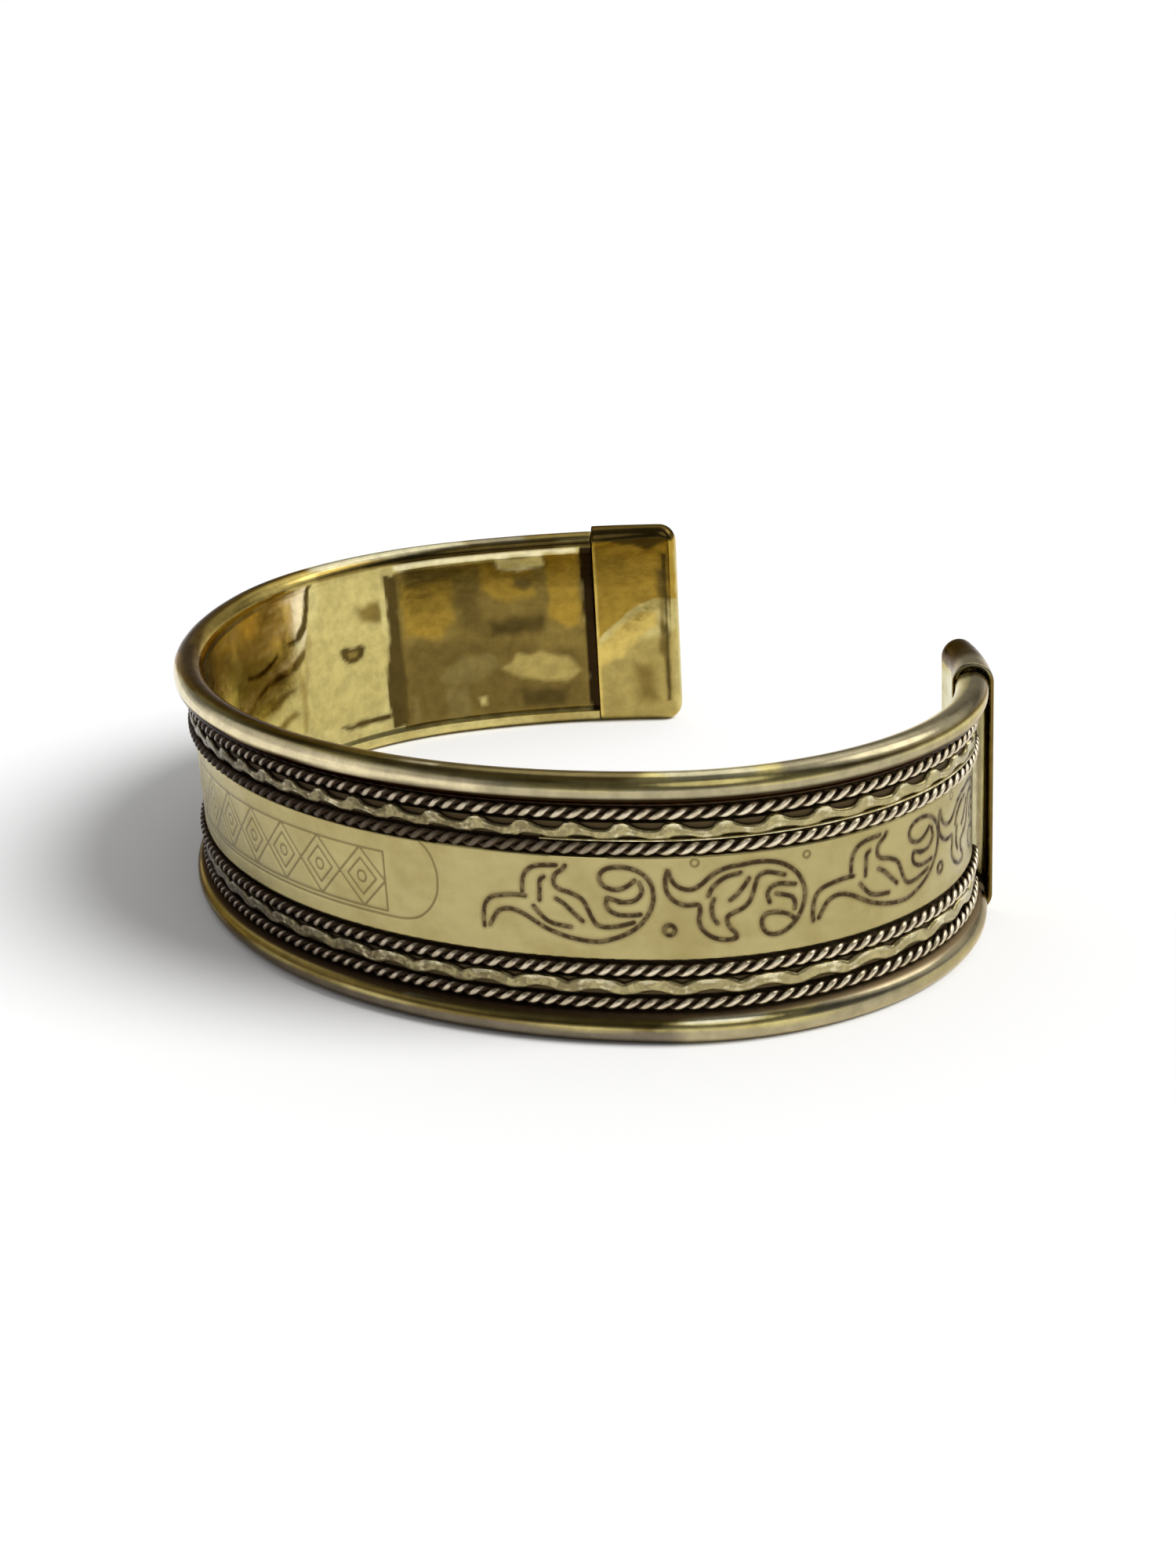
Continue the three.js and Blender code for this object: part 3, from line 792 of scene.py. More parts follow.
def engraved_brass():
    """Satin brass with near-black patina in the cuts, and a brown halo of it beside them."""
    material, tree, shader = new_material("engraved_brass")
    place = flat_place(tree)
    bold = put(tree, "ShaderNodeAttribute", attribute_name="bold").outputs["Fac"]
    fine = put(tree, "ShaderNodeAttribute", attribute_name="fine").outputs["Fac"]
    clouds = noise(tree, place, 0.25, 4.0, 0.6)
    colour = blend_colour(tree, band_range(tree, clouds, 0.38, 0.7),
                          (0.48, 0.405, 0.18, 1.0), (0.40, 0.325, 0.13, 1.0))
    stain = maths(tree, "MULTIPLY", band_range(tree, bold, 0.36, 0.10), 0.55)
    colour = blend_colour(tree, stain, colour, (0.22, 0.16, 0.07, 1.0))
    worn = band_range(tree, noise(tree, place, 1.7, 3.0, 0.6), 0.35, 0.6, 0.55, 1.0)
    dark = maths(tree, "MULTIPLY", band_range(tree, bold, 0.19, 0.08), worn)
    colour = blend_colour(tree, dark, colour, (0.085, 0.055, 0.026, 1.0))
    thin = maths(tree, "MULTIPLY", band_range(tree, fine, 0.12, 0.03), 0.7)
    colour = blend_colour(tree, thin, colour, (0.12, 0.085, 0.03, 1.0))
    tree.links.new(colour, shader.inputs["Base Color"])
    shader.inputs["Metallic"].default_value = 1.0
    smear = noise(tree, flat_place(tree, (0.35, 1.0, 1.0)), 1.4, 5.0, 0.6)
    rough = band_range(tree, smear, 0.3, 0.75, 0.26, 0.42)
    tree.links.new(maths(tree, "MAXIMUM", rough, maths(tree, "MULTIPLY", dark, 0.6)),
                   shader.inputs["Roughness"])
    scratch = noise(tree, flat_place(tree, (0.15, 1.0, 1.0)), 8.0, 3.0, 0.6)
    first = bump(tree, scratch, 0.15, 0.00001)
    tree.links.new(bump(tree, noise(tree, place, 0.8, 2.0), 0.4, 0.00004, first),
                   shader.inputs["Normal"])
    return material


plate_verts, plate_faces, plate_bold, plate_fine = plate_mesh()
plate = flat_object("engraved_centre_plate", plate_verts, plate_faces)
for label, values in (("bold", plate_bold), ("fine", plate_fine)):
    layer = plate.data.attributes.new(label, "FLOAT", "POINT")
    layer.data.foreach_set("value", values.astype(np.float32))
bend_piece(plate, engraved_brass(), 50)
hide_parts("centre_plate")

# Twisted wires
# Two fine wires twisted together, laid along both sides of each wave strip and soldered down.
# Their tops are rubbed flat and bright, and the grooves between the strands are black.
ROPE_RADIUS = 0.39
WAVE_PERIOD = 2.81
ROPE_LAY = 2 * WAVE_PERIOD / 3
ROPE_T = FLOOR + GAP + ROPE_RADIUS
ROPE_OUTER = MID - 2 * RIM_RADIUS - GAP - ROPE_RADIUS
WAVE_HEIGHT = 1.06
WAVE_Z = ROPE_OUTER - ROPE_RADIUS - GAP - WAVE_HEIGHT / 2
ROPE_INNER = WAVE_Z - WAVE_HEIGHT / 2 - GAP - ROPE_RADIUS
STRAND_RADIUS, HELIX_RADIUS, RUBBED_TO = 0.2, 0.19, 0.30


def twisted_wire_tree():
    """Strands on a common helix along x, their tops rubbed down, moved to their place."""
    tree, start, end = new_tree(
        "twisted_wire",
        [
            ("Length", "NodeSocketFloat", 0.12),
            ("Lay", "NodeSocketFloat", 0.002),
            ("Strand Radius", "NodeSocketFloat", 0.0002),
            ("Helix Radius", "NodeSocketFloat", 0.0002),
            ("Rubbed To", "NodeSocketFloat", 0.0003),
            ("Place", "NodeSocketVector", None),
            ("Turn", "NodeSocketFloat", 0.0),
        ],
    )
    half = maths(tree, "MULTIPLY", start.outputs["Length"], 0.5)
    low = put(tree, "ShaderNodeCombineXYZ", {0: maths(tree, "MULTIPLY", half, -1.0)})
    high = put(tree, "ShaderNodeCombineXYZ", {0: half})
    line = put(tree, "GeometryNodeCurvePrimitiveLine", {"Start": low.outputs[0], "End": high.outputs[0]})
    lay = put(tree, "ShaderNodeMath", {0: start.outputs["Lay"]}, operation="ABSOLUTE").outputs[0]
    step = maths(tree, "DIVIDE", lay, 14.0)
    dense = put(tree, "GeometryNodeResampleCurve", {"Curve": line.outputs[0], "Length": step},
                mode="LENGTH")
    place = put(tree, "GeometryNodeInputPosition")
    x = put(tree, "ShaderNodeSeparateXYZ", {0: place.outputs[0]}).outputs[0]
    wander = put(tree, "ShaderNodeTexNoise", {"Scale": 260.0, "Detail": 1.0}, noise_dimensions="3D")
    tree.links.new(place.outputs[0], wander.inputs["Vector"])
    sway = maths(tree, "MULTIPLY", maths(tree, "SUBTRACT", wander.outputs[0], 0.5), 1.6)
    angle = maths(tree, "DIVIDE", x, start.outputs["Lay"])
    angle = maths(tree, "MULTIPLY", angle, 2 * math.pi)
    angle = maths(tree, "ADD", maths(tree, "ADD", angle, sway), start.outputs["Turn"])
    profile = put(
        tree,
        "GeometryNodeCurvePrimitiveCircle",
        {"Resolution": 8, "Radius": start.outputs["Strand Radius"]},
    )
    both = put(tree, "GeometryNodeJoinGeometry")
    for turn in (0.0, math.pi):
        a = maths(tree, "ADD", angle, turn)
        y = maths(tree, "MULTIPLY", put(tree, "ShaderNodeMath", {0: a}, operation="COSINE").outputs[0],
                  start.outputs["Helix Radius"])
        z = maths(tree, "MULTIPLY", put(tree, "ShaderNodeMath", {0: a}, operation="SINE").outputs[0],
                  start.outputs["Helix Radius"])
        offset = put(tree, "ShaderNodeCombineXYZ", {1: y, 2: z})
        strand = put(tree, "GeometryNodeSetPosition",
                     {"Geometry": dense.outputs[0], "Offset": offset.outputs[0]})
        tube = put(tree, "GeometryNodeCurveToMesh",
                   {"Curve": strand.outputs[0], "Profile Curve": profile.outputs[0], "Fill Caps": True})
        tree.links.new(tube.outputs[0], both.inputs[0])
    spot = put(tree, "GeometryNodeInputPosition")
    parts = put(tree, "ShaderNodeSeparateXYZ", {0: spot.outputs[0]})
    radial = put(tree, "ShaderNodeCombineXYZ", {1: parts.outputs[1], 2: parts.outputs[2]})
    size = put(tree, "ShaderNodeVectorMath", {0: radial.outputs[0]}, operation="LENGTH")
    crown = put(tree, "GeometryNodeStoreNamedAttribute",
                {"Geometry": both.outputs[0], "Name": "crown"}, data_type="FLOAT", domain="POINT")
    tree.links.new(size.outputs["Value"], crown.inputs["Value"])
    over = maths(tree, "SUBTRACT", parts.outputs[1], start.outputs["Rubbed To"])
    over = maths(tree, "MULTIPLY", maths(tree, "MAXIMUM", over, 0.0), -0.8)
    rub = put(tree, "ShaderNodeCombineXYZ", {1: over})
    rubbed = put(tree, "GeometryNodeSetPosition", {"Geometry": crown.outputs[0], "Offset": rub.outputs[0]})
    moved = put(tree, "GeometryNodeTransform",
                {"Geometry": rubbed.outputs[0], "Translation": start.outputs["Place"]})
    tree.links.new(moved.outputs[0], end.inputs[0])
    return tree


def rubbed_wire():
    """Pinkish brass where the strands are rubbed, brighter and wider towards the right, black between
    them, and painted shade darkening the upper inner wire to the left.
    """
    material, tree, shader = new_material("rope_wire")
    place = flat_place(tree)
    s, t, z = put(tree, "ShaderNodeSeparateXYZ", {0: place}).outputs
    rubbed = band_range(tree, s, 2, 44)
    front = band_range(tree, maths(tree, "SUBTRACT", t, ROPE_T), 0.04, 0.20)
    inner = MID + ROPE_INNER
    # Painted shade: the upper inner wire is darkened towards the left.
    left_shade = maths(tree, "MULTIPLY", band_range(tree, z, inner - 0.6, inner - 0.5),
                  band_range(tree, z, inner + 0.6, inner + 0.5))
    left_shade = maths(tree, "MULTIPLY", left_shade, band_range(tree, s, 36, 24, 0.0, 0.8))
    crown = put(tree, "ShaderNodeAttribute", attribute_name="crown").outputs["Fac"]
    blotch = noise(tree, place, 1.3, 3.0, 0.6)
    high = maths(tree, "ADD", maths(tree, "MULTIPLY", crown, 1000.0),
                 maths(tree, "MULTIPLY", maths(tree, "SUBTRACT", blotch, 0.5), 0.12))
    high = maths(tree, "ADD", high, maths(tree, "MULTIPLY", rubbed, 0.075))
    worn = maths(tree, "MULTIPLY", band_range(tree, high, 0.34, 0.40), front)
    worn = maths(tree, "MULTIPLY", worn, maths(tree, "SUBTRACT", 1.0, left_shade))
    dull = blend_colour(tree, band_range(tree, blotch, 0.35, 0.7),
                        (0.44, 0.365, 0.28, 1.0), (0.26, 0.20, 0.145, 1.0))
    bright = blend_colour(tree, band_range(tree, blotch, 0.35, 0.7),
                          (0.90, 0.79, 0.58, 1.0), (0.62, 0.52, 0.34, 1.0))
    metal = blend_colour(tree, rubbed, dull, bright)
    grime = blend_colour(tree, rubbed, (0.034, 0.020, 0.012, 1.0), (0.10, 0.068, 0.038, 1.0))
    colour = blend_colour(tree, worn, grime, metal)
    tree.links.new(colour, shader.inputs["Base Color"])
    shader.inputs["Metallic"].default_value = 1.0
    tree.links.new(band_range(tree, worn, 0.0, 1.0, 0.6, 0.3), shader.inputs["Roughness"])
    tree.links.new(bump(tree, noise(tree, place, 6.0, 3.0), 0.3, 0.00002), shader.inputs["Normal"])
    return material


TWIST = twisted_wire_tree()
WIRE = rubbed_wire()
ROPES = (
    ("rope_upper_outer", MID + ROPE_OUTER, 0.4),
    ("rope_upper_inner", MID + ROPE_INNER, 1.7),
    ("rope_lower_inner", MID - ROPE_INNER, 2.6),
    ("rope_lower_outer", MID - ROPE_OUTER, 0.9),
)
for node, rope_z, turn in ROPES:
    rope = flat_object(node + "_strands", [(0, 0, 0)], [])
    apply_tree(rope, TWIST, {
        "Length": (OPEN_RIGHT - OPEN_LEFT - 2 * GAP) * MM,
        "Lay": ROPE_LAY * MM,
        "Strand Radius": STRAND_RADIUS * MM,
        "Helix Radius": HELIX_RADIUS * MM,
        "Rubbed To": RUBBED_TO * MM,
        "Place": ((OPEN_LEFT + OPEN_RIGHT) / 2 * MM, ROPE_T * MM, rope_z * MM),
        "Turn": turn,
    })
    bend_piece(rope, WIRE)
    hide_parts(node)

# Wave strips
# Flat wire bent into leaning waves, soldered between two ropes. Its face is rubbed bright and
# the pockets that it leaves on both sides are black.
WAVE_T0 = FLOOR + GAP
WAVE_T1 = WAVE_T0 + 0.55
# One wave of each strip: s and z along its upper edge, then s and z along its lower edge, as
# shares of the period and of the height.
LEANING_EDGES = (
    (0.00, 0.40, 0.02, -0.50),
    (0.11, 0.52, 0.08, -0.44),
    (0.25, 0.52, 0.16, -0.36),
    (0.37, 0.30, 0.34, -0.33),
    (0.52, 0.14, 0.52, -0.36),
    (0.70, 0.09, 0.62, -0.44),
    (0.85, 0.10, 0.70, -0.50),
    (0.94, 0.22, 0.86, -0.51),
)
ARCHED_EDGES = (
    (0.00, 0.20, 0.04, -0.50),
    (0.10, 0.32, 0.20, -0.44),
    (0.22, 0.44, 0.32, -0.32),
    (0.38, 0.52, 0.44, -0.25),
    (0.56, 0.52, 0.58, -0.27),
    (0.74, 0.46, 0.70, -0.37),
    (0.88, 0.33, 0.82, -0.47),
    (0.95, 0.24, 0.94, -0.51),
)
WAVE_SECTION = ((0.0, 0.0), (0.0, 0.72), (0.1, 0.92), (0.3, 1.0), (0.5, 0.96), (0.7, 1.0),
                (0.9, 0.92), (1.0, 0.72), (1.0, 0.0))
WAVE_CREST = 0.10
ARCHED_PERIOD = 3.25
WAVE_BACK = 0.30
LIP_FROM, LIP_FRONT = 26.0, 0.22


def wave_unit(edges, period):
    """One period of the strip, open at both ends, from its edges' table."""
    table = np.array(edges)
    wrapped = np.vstack([table[-2:] - (1, 0, 1, 0), table, table[:2] + (1, 0, 1, 0)])
    steps = []
    for i in range(2, len(wrapped) - 2):
        a, b, c, d = wrapped[i - 1], wrapped[i], wrapped[i + 1], wrapped[i + 2]
        for k in np.linspace(0, 1, 3, endpoint=False):
            steps.append(between(a, b, c, d, k))
    steps.append(steps[0] + (1, 0, 1, 0))
    verts = []
    for su, zu, sl, zl in steps:
        for across, out in WAVE_SECTION:
            share = 1 - across
            z = zl * share + zu * across
            crest = WAVE_CREST * min(max((z - 0.24) / 0.2, 0.0), 1.0)
            verts.append((
                (sl + (su - sl) * across) * period,
                WAVE_T0 + (WAVE_T1 - WAVE_T0 + crest) * out,
                z * WAVE_HEIGHT,
            ))
    return flat_object("wave_unit", verts, side_faces(len(steps), len(WAVE_SECTION)))


def wave_tree():
    """Puts the unit on every point of a line and joins the copies into one strip."""
    tree, start, end = new_tree(
        "wave_strip",
        [
            ("Unit", "NodeSocketObject", None),
            ("Periods", "NodeSocketInt", 40),
            ("Period", "NodeSocketFloat", 0.003),
            ("Start", "NodeSocketVector", None),
        ],
    )
    step = put(tree, "ShaderNodeCombineXYZ", {0: start.outputs["Period"]})
    line = put(tree, "GeometryNodeMeshLine",
               {"Count": start.outputs["Periods"], "Start Location": start.outputs["Start"],
                "Offset": step.outputs[0]}, mode="OFFSET")
    unit = put(tree, "GeometryNodeObjectInfo", {"Object": start.outputs["Unit"]})
    copies = put(tree, "GeometryNodeInstanceOnPoints",
                 {"Points": line.outputs[0], "Instance": unit.outputs["Geometry"]})
    real = put(tree, "GeometryNodeRealizeInstances", {0: copies.outputs[0]})
    joined = put(tree, "GeometryNodeMergeByDistance", {"Geometry": real.outputs[0], "Distance": 2e-6})
    whole = put(tree, "GeometryNodeJoinGeometry")
    tree.links.new(start.outputs["Geometry"], whole.inputs[0])
    tree.links.new(joined.outputs[0], whole.inputs[0])
    tree.links.new(whole.outputs[0], end.inputs[0])
    return tree


def rubbed_strip():
    """Olive brass, bright on the crowns and black down the sides."""
    material, tree, shader = new_material("wave_wire")
    place = flat_place(tree)
    apart = put(tree, "ShaderNodeSeparateXYZ", {0: place})
    t = apart.outputs[1]
    rubbed = band_range(tree, apart.outputs[0], -4, 44)
    blotch = noise(tree, place, 1.1, 4.0, 0.6)
    high = maths(tree, "ADD", t, maths(tree, "MULTIPLY", maths(tree, "SUBTRACT", blotch, 0.5), 0.25))
    worn = band_range(tree, high, -0.02, 0.15)
    dull = blend_colour(tree, band_range(tree, blotch, 0.35, 0.68),
                        (0.19, 0.155, 0.085, 1.0), (0.095, 0.072, 0.036, 1.0))
    bright = blend_colour(tree, band_range(tree, blotch, 0.35, 0.68),
                          (0.54, 0.465, 0.225, 1.0), (0.33, 0.27, 0.12, 1.0))
    metal = blend_colour(tree, rubbed, dull, bright)
    crown = blend_colour(tree, rubbed, (0.60, 0.53, 0.34, 1.0), (0.90, 0.82, 0.52, 1.0))
    metal = blend_colour(tree, band_range(tree, high, 0.19, 0.25), metal, crown)
    grime = blend_colour(tree, rubbed, (0.040, 0.025, 0.012, 1.0), (0.12, 0.085, 0.040, 1.0))
    speckle = band_range(tree, noise(tree, place, 1.9, 4.0, 0.7), 0.40, 0.58, 0.35, 1.0)
    speckle = maths(tree, "MAXIMUM", speckle, maths(tree, "MULTIPLY", rubbed, 0.8))
    worn = maths(tree, "MULTIPLY", worn, speckle)
    colour = blend_colour(tree, worn, grime, metal)
    tree.links.new(colour, shader.inputs["Base Color"])
    shader.inputs["Metallic"].default_value = 1.0
    tree.links.new(band_range(tree, worn, 0.0, 1.0, 0.6, 0.28), shader.inputs["Roughness"])
    tree.links.new(bump(tree, noise(tree, place, 3.0, 3.0), 0.4, 0.00004), shader.inputs["Normal"])
    return material


WAVES = wave_tree()
STRIP = rubbed_strip()
for node, strip_z, lip, edges, period, phase in (
    ("wave_strip_upper", MID + WAVE_Z, True, LEANING_EDGES, WAVE_PERIOD, 0.02),
    ("wave_strip_lower", MID - WAVE_Z, False, ARCHED_EDGES, ARCHED_PERIOD, 0.60),
):
    unit = wave_unit(edges, period)
    first_wave = OPEN_LEFT + period * phase
    periods = int((OPEN_RIGHT - first_wave) / period)
    half = WAVE_HEIGHT / 2
    bars = [(OPEN_LEFT, OPEN_RIGHT, strip_z - 0.98 * half, strip_z + 0.86 * half, WAVE_T0 + WAVE_BACK)]
    if lip:
        bars.append((LIP_FROM, OPEN_RIGHT, strip_z - half - 0.06, strip_z - half + 0.08, LIP_FRONT))
    verts, faces = [], []
    for s0, s1, low, high, front in bars:
        rows = np.linspace(s0, s1, int((s1 - s0) / 0.4))
        ring = ((WAVE_T0, low), (front - 0.05, low), (front, low + 0.04), (front, high - 0.04),
                (front - 0.05, high), (WAVE_T0, high))
        first = len(verts)
        verts += [(s, t, z) for s in rows for t, z in ring]
        faces += [tuple(first + i for i in face) for face in ring_faces(len(rows), len(ring))]
    strip = flat_object(node + "_face", verts, faces)
    apply_tree(strip, WAVES, {
        "Unit": unit,
        "Periods": periods,
        "Period": period * MM,
        "Start": (first_wave * MM, 0.0, strip_z * MM),
    })
    bend_piece(strip, STRIP, 50)
    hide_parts(node)
    bpy.data.objects.remove(unit)

# End caps
# Brass sheet folded over each end of the band and pressed tight, so that it thins towards its
# tip. Its top and bottom are round folds, and it stands a little above the rims.
def fold_ring(s, half, low, high):
    """A ring round a cap: straight sides, and half circles over the top and under the bottom."""
    ring = []
    for a in np.linspace(180, 360, 19):
        turn = math.radians(a)
        ring.append((s, half * math.cos(turn), low + half + half * math.sin(turn)))
    for z in np.linspace(low + half, high - half, 16)[1:-1]:
        ring.append((s, half, z))
    for a in np.linspace(0, 180, 19):
        turn = math.radians(a)
        ring.append((s, half * math.cos(turn), high - half + half * math.sin(turn)))
    for z in np.linspace(high - half, low + half, 70)[1:-1]:
        ring.append((s, -half, z))
    return ring


def cap_mesh(arm):
    """A cap from the inside of its mouth, over the sheet's edge, out and round its tip."""
    top = HEIGHT + CAP_RISE
    rings = []
    for length, depth in ((2.4, CAP_SHEET), (0.06, CAP_SHEET), (0.0, CAP_SHEET - 0.06),
                          (0.0, 0.06), (0.04, 0.01)):
        half = cap_half(arm, arm.mouth + length)
        rings.append((arm.mouth + length, half - depth, depth, top - depth))
    for length in np.linspace(arm.mouth + 0.15, arm.tip - CAP_CORNER, 28):
        rings.append((length, cap_half(arm, length), 0.0, top))
    round_t = 0.62
    for a in np.linspace(8, 90, 12):
        c, d = math.sin(math.radians(a)), 1 - math.cos(math.radians(a))
        length = arm.tip - CAP_CORNER * (1 - c)
        near = min(max((length - (arm.tip - round_t)) / round_t, 0.0), 1.0)
        blunt = round_t * (1 - math.sqrt(max(1 - near * near, 0.0)))
        rings.append((length, cap_half(arm, length) - blunt, CAP_CORNER * d, top - CAP_CORNER * d))
    verts = []
    for length, half, low, high in rings:
        for s, t, z in fold_ring(arm.side * length, half, low, high):
            if t < 0 and half > 0.5:
                lift = min(max((length - arm.mouth) / CAP_LENGTH, 0.0), 1.0)
                fold = z - 6.6 - 4.4 * lift
                t += 0.045 * math.tanh(fold / 0.9) * math.sin(math.pi * lift)
            verts.append((s, t, z))
    faces = ring_faces(len(rings), len(fold_ring(0, 1, 0, 16)))
    if arm.side < 0:
        faces = [tuple(reversed(face)) for face in faces]
    return verts, faces


# Painted reflections and shade, with some tarnish, on the caps, outlined by s and z. The right cap takes
# them all over; the left cap keeps them off its outer face below the top fold.
LEFT_CAP_TARNISH_AND_PAINTED_LIGHT = (
    (AMBER, 0.3, ((-62.5, 15.6), (-69.5, 15.6), (-69.5, 10.4), (-67.5, 10.4), (-66, 9.7), (-64, 8.2),
                  (-62.5, 6.9))),
    (STRAW, 1.2, ((-62.5, 6.4), (-69.5, 8.0), (-69.5, 0), (-62.5, 0))),
    (DUSK, 1.2, ((-65.8, 5.0), (-67.4, 5.2), (-67.6, 1.8), (-66.0, 1.6))),
    (SUN, 0.7, ((-62.5, 6.5), (-64.2, 8.0), (-66.2, 9.3), (-67.8, 9.5), (-68.0, 8.2), (-66, 6.9),
                (-64.2, 5.4), (-62.5, 4.6))),
    (BROWN, 0.5, ((-68.0, 13), (-68.6, 13), (-68.6, 5), (-68.0, 6))),
    (UMBER, 0.3, ((-68.4, 14.2), (-68.85, 14.2), (-68.85, 1.8), (-68.45, 1.8))),
    (UMBER, 0.25, ((-62.5, 15.45), (-64.2, 15.25), (-66, 14.95), (-67.3, 14.5), (-68.2, 15.0),
                   (-69.5, 15.4), (-69.5, 17), (-62.5, 17))),
    # A painted highlight on the edge of the mouth.
    (SUN, 0.10, ((-62.5, 15.2), (-62.95, 15.2), (-62.95, 0.5), (-62.5, 0.5))),
)
RIGHT_CAP_TARNISH_AND_PAINTED_LIGHT = (
    (CREAM, 0.5, ((60.0, 15.0), (69.5, 14.4), (69.5, -1), (60.0, -1))),
    (ASH, 0.4, ((60.0, 15.3), (69.5, 14.7), (69.5, 17), (60.0, 17))),
    (UMBER, 1.6, ((63.2, 15.3), (69.5, 14.6), (69.5, 17), (63.2, 17))),
    (BROWN, 0.15, ((60.0, 15.6), (61.5, 15.6), (61.5, -1), (60.0, -1))),
)


def cap_tarnish_and_light(verts, tarnish_and_light_marks):
    place = np.array(verts)
    colours = np.zeros((len(place), 4))
    colours[:, :3] = GOLD[:3]
    paint_tarnish_and_light(colours, place[:, [0, 2]], tarnish_and_light_marks)
    outer = np.clip((place[:, 1] - 0.35) / 0.4, 0, 1) * (place[:, 2] < HEIGHT - 0.4)
    colours[:, 3] *= 1 - outer * (place[:, 0] < 0)
    return colours


CAP_BRASS = polished_brass("cap_brass", 5, channel=False)
for node, arm, tarnish_and_light_marks in (
    ("end_cap_left", LEFT, LEFT_CAP_TARNISH_AND_PAINTED_LIGHT),
    ("end_cap_right", RIGHT, RIGHT_CAP_TARNISH_AND_PAINTED_LIGHT),
):
    cap_verts, cap_faces = cap_mesh(arm)
    cap = flat_object(node + "_sheet", cap_verts, cap_faces)
    keep_tarnish_and_light(cap, cap_tarnish_and_light(cap_verts, tarnish_and_light_marks))
    bend_piece(cap, CAP_BRASS, 60)
    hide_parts(node)
bpy.data.objects.remove(PATH)

# Table
# A plain white sheet that the cuff lies on. It takes the soft shadow and shows in the metal.
table_mesh = bpy.data.meshes.new("table")
table_mesh.from_pydata([(-9, -9, 0), (9, -9, 0), (9, 9, 0), (-9, 9, 0)], [], [(0, 1, 2, 3)])
table = bpy.data.objects.new("table", table_mesh)
scene.collection.objects.link(table)
table_paint, table_tree, table_shader = new_material("white_sheet")
table_shader.inputs["Base Color"].default_value = (0.85, 0.85, 0.85, 1.0)
table_shader.inputs["Roughness"].default_value = 0.9
table_shader.inputs["Specular IOR Level"].default_value = 0.0
table.data.materials.append(table_paint)

# Camera
# Long lens from the front right, looking down about 19 degrees, rolled 3 degrees.
CAMERA_AT = (119.170, -64.977, 52.500)
CAMERA_LOOK = (-0.823337, 0.463108, -0.328097)
CAMERA_ROLL = 0.058853
FOCAL_PIXELS, PHOTO_HEIGHT, SENSOR = 2667.0, 2000.0, 36.0
camera_data = bpy.data.cameras.new("camera")
camera_data.lens = FOCAL_PIXELS * SENSOR / PHOTO_HEIGHT
camera_data.sensor_width = SENSOR
camera_data.sensor_fit = "AUTO"
camera_data.clip_start = 0.005
camera = bpy.data.objects.new("camera", camera_data)
scene.collection.objects.link(camera)
look = np.array(CAMERA_LOOK) / np.linalg.norm(CAMERA_LOOK)
right = np.cross(look, (0, 0, 1))
right /= np.linalg.norm(right)
above = np.cross(right, look)
cos_roll, sin_roll = math.cos(CAMERA_ROLL), math.sin(CAMERA_ROLL)
right, above = cos_roll * right - sin_roll * above, sin_roll * right + cos_roll * above
columns = [(*right, 0), (*above, 0), (*(-look), 0), (*[c * MM for c in CAMERA_AT], 1)]
camera.matrix_world = Matrix([[columns[c][r] for c in range(4)] for r in range(4)])
scene.camera = camera

# Studio light
# One broad soft lamp from the right and behind lights the table. The room that the brass mirrors
# is dark above, pale near the table's level, and has bright windows on the right.
scene.view_settings.view_transform = "Standard"
scene.view_settings.look = "None"


def toward(azimuth, height):
    """The direction that lies at an azimuth and a height, both in degrees."""
    a, h = math.radians(azimuth), math.radians(height)
    return Vector((math.cos(a) * math.cos(h), math.sin(a) * math.cos(h), math.sin(h)))


lamp_data = bpy.data.lights.new("soft_lamp", "SUN")
lamp_data.energy = 3.5
lamp_data.angle = math.radians(34)
lamp = bpy.data.objects.new("soft_lamp", lamp_data)
scene.collection.objects.link(lamp)
lamp.rotation_euler = (-toward(38, 43)).to_track_quat("-Z", "Y").to_euler()
lamp.visible_glossy = False

AMBIENT = 0.47
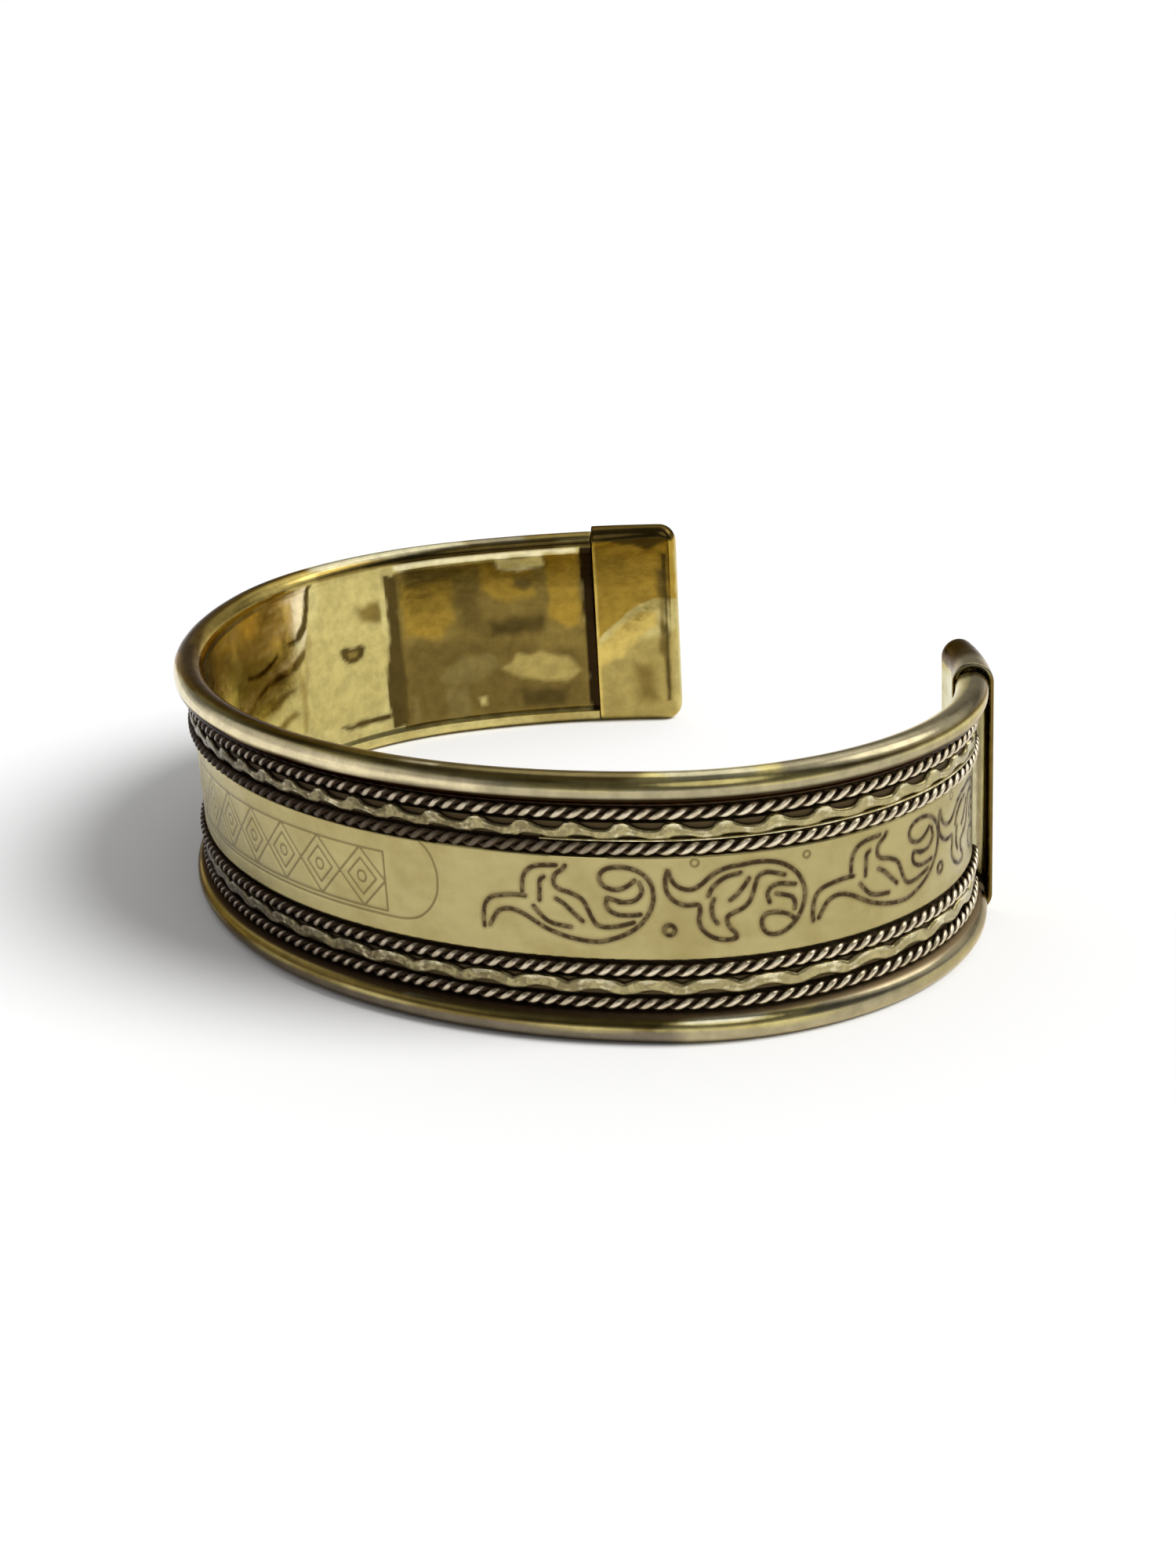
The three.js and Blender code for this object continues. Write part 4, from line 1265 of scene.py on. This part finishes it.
# The mirrored room's brightness by height, from straight down at -1 to straight up at 1.
ROOM_BY_HEIGHT = ((-0.30, 0.70), (0.0, 0.62), (0.10, 0.50), (0.20, 0.20), (0.50, 0.11), (0.75, 0.10),
                  (1.0, 0.20))
# Each window: azimuth, height, half its bright core and half its whole width in degrees, power.
WINDOWS = (
    (74, 44, 8, 20, 3.0),
    (80, 42, 22, 40, 0.8),
    (-20, 42, 6, 22, 0.9),
    (140, 55, 8, 30, 1.1),
    (150, 12, 10, 40, 0.25),
    (-132, 14, 20, 34, 0.42),
    (-100, 14, 12, 28, 0.25),
)
world = bpy.data.worlds.new("room")
scene.world = world
world.use_nodes = True
room = world.node_tree
room.nodes.clear()
room_end = room.nodes.new("ShaderNodeOutputWorld")
room_light = room.nodes.new("ShaderNodeBackground")
room.links.new(room_light.outputs[0], room_end.inputs[0])
facing = put(room, "ShaderNodeTexCoord").outputs["Generated"]
up = put(room, "ShaderNodeSeparateXYZ", {0: facing}).outputs[2]
ramp = put(room, "ShaderNodeValToRGB")
room.links.new(maths(room, "ADD", maths(room, "MULTIPLY", up, 0.5), 0.5), ramp.inputs[0])
ramp.color_ramp.elements[0].position = 0.0
ramp.color_ramp.elements[1].position = 1.0
while len(ramp.color_ramp.elements) < len(ROOM_BY_HEIGHT):
    ramp.color_ramp.elements.new(0.5)
for element, (position, value) in zip(ramp.color_ramp.elements, ROOM_BY_HEIGHT):
    element.position = 0.5 + position / 2
    element.color = (value, value, value, 1.0)
mirrored = ramp.outputs[0]
for azimuth, height, core, edge, power in WINDOWS:
    near = put(room, "ShaderNodeVectorMath", {0: facing, 1: toward(azimuth, height)},
               operation="DOT_PRODUCT").outputs["Value"]
    glow = band_range(room, near, math.cos(math.radians(edge)), math.cos(math.radians(core)), 0.0, power)
    mirrored = maths(room, "ADD", mirrored, glow)
ray = put(room, "ShaderNodeLightPath")
seen = blend_colour(room, ray.outputs["Is Glossy Ray"], (AMBIENT, AMBIENT, AMBIENT, 1.0), mirrored)
seen = blend_colour(room, ray.outputs["Is Camera Ray"], seen, (1.0, 1.0, 1.0, 1.0))
room.links.new(seen, room_light.inputs["Color"])
room_light.inputs["Strength"].default_value = 1.0
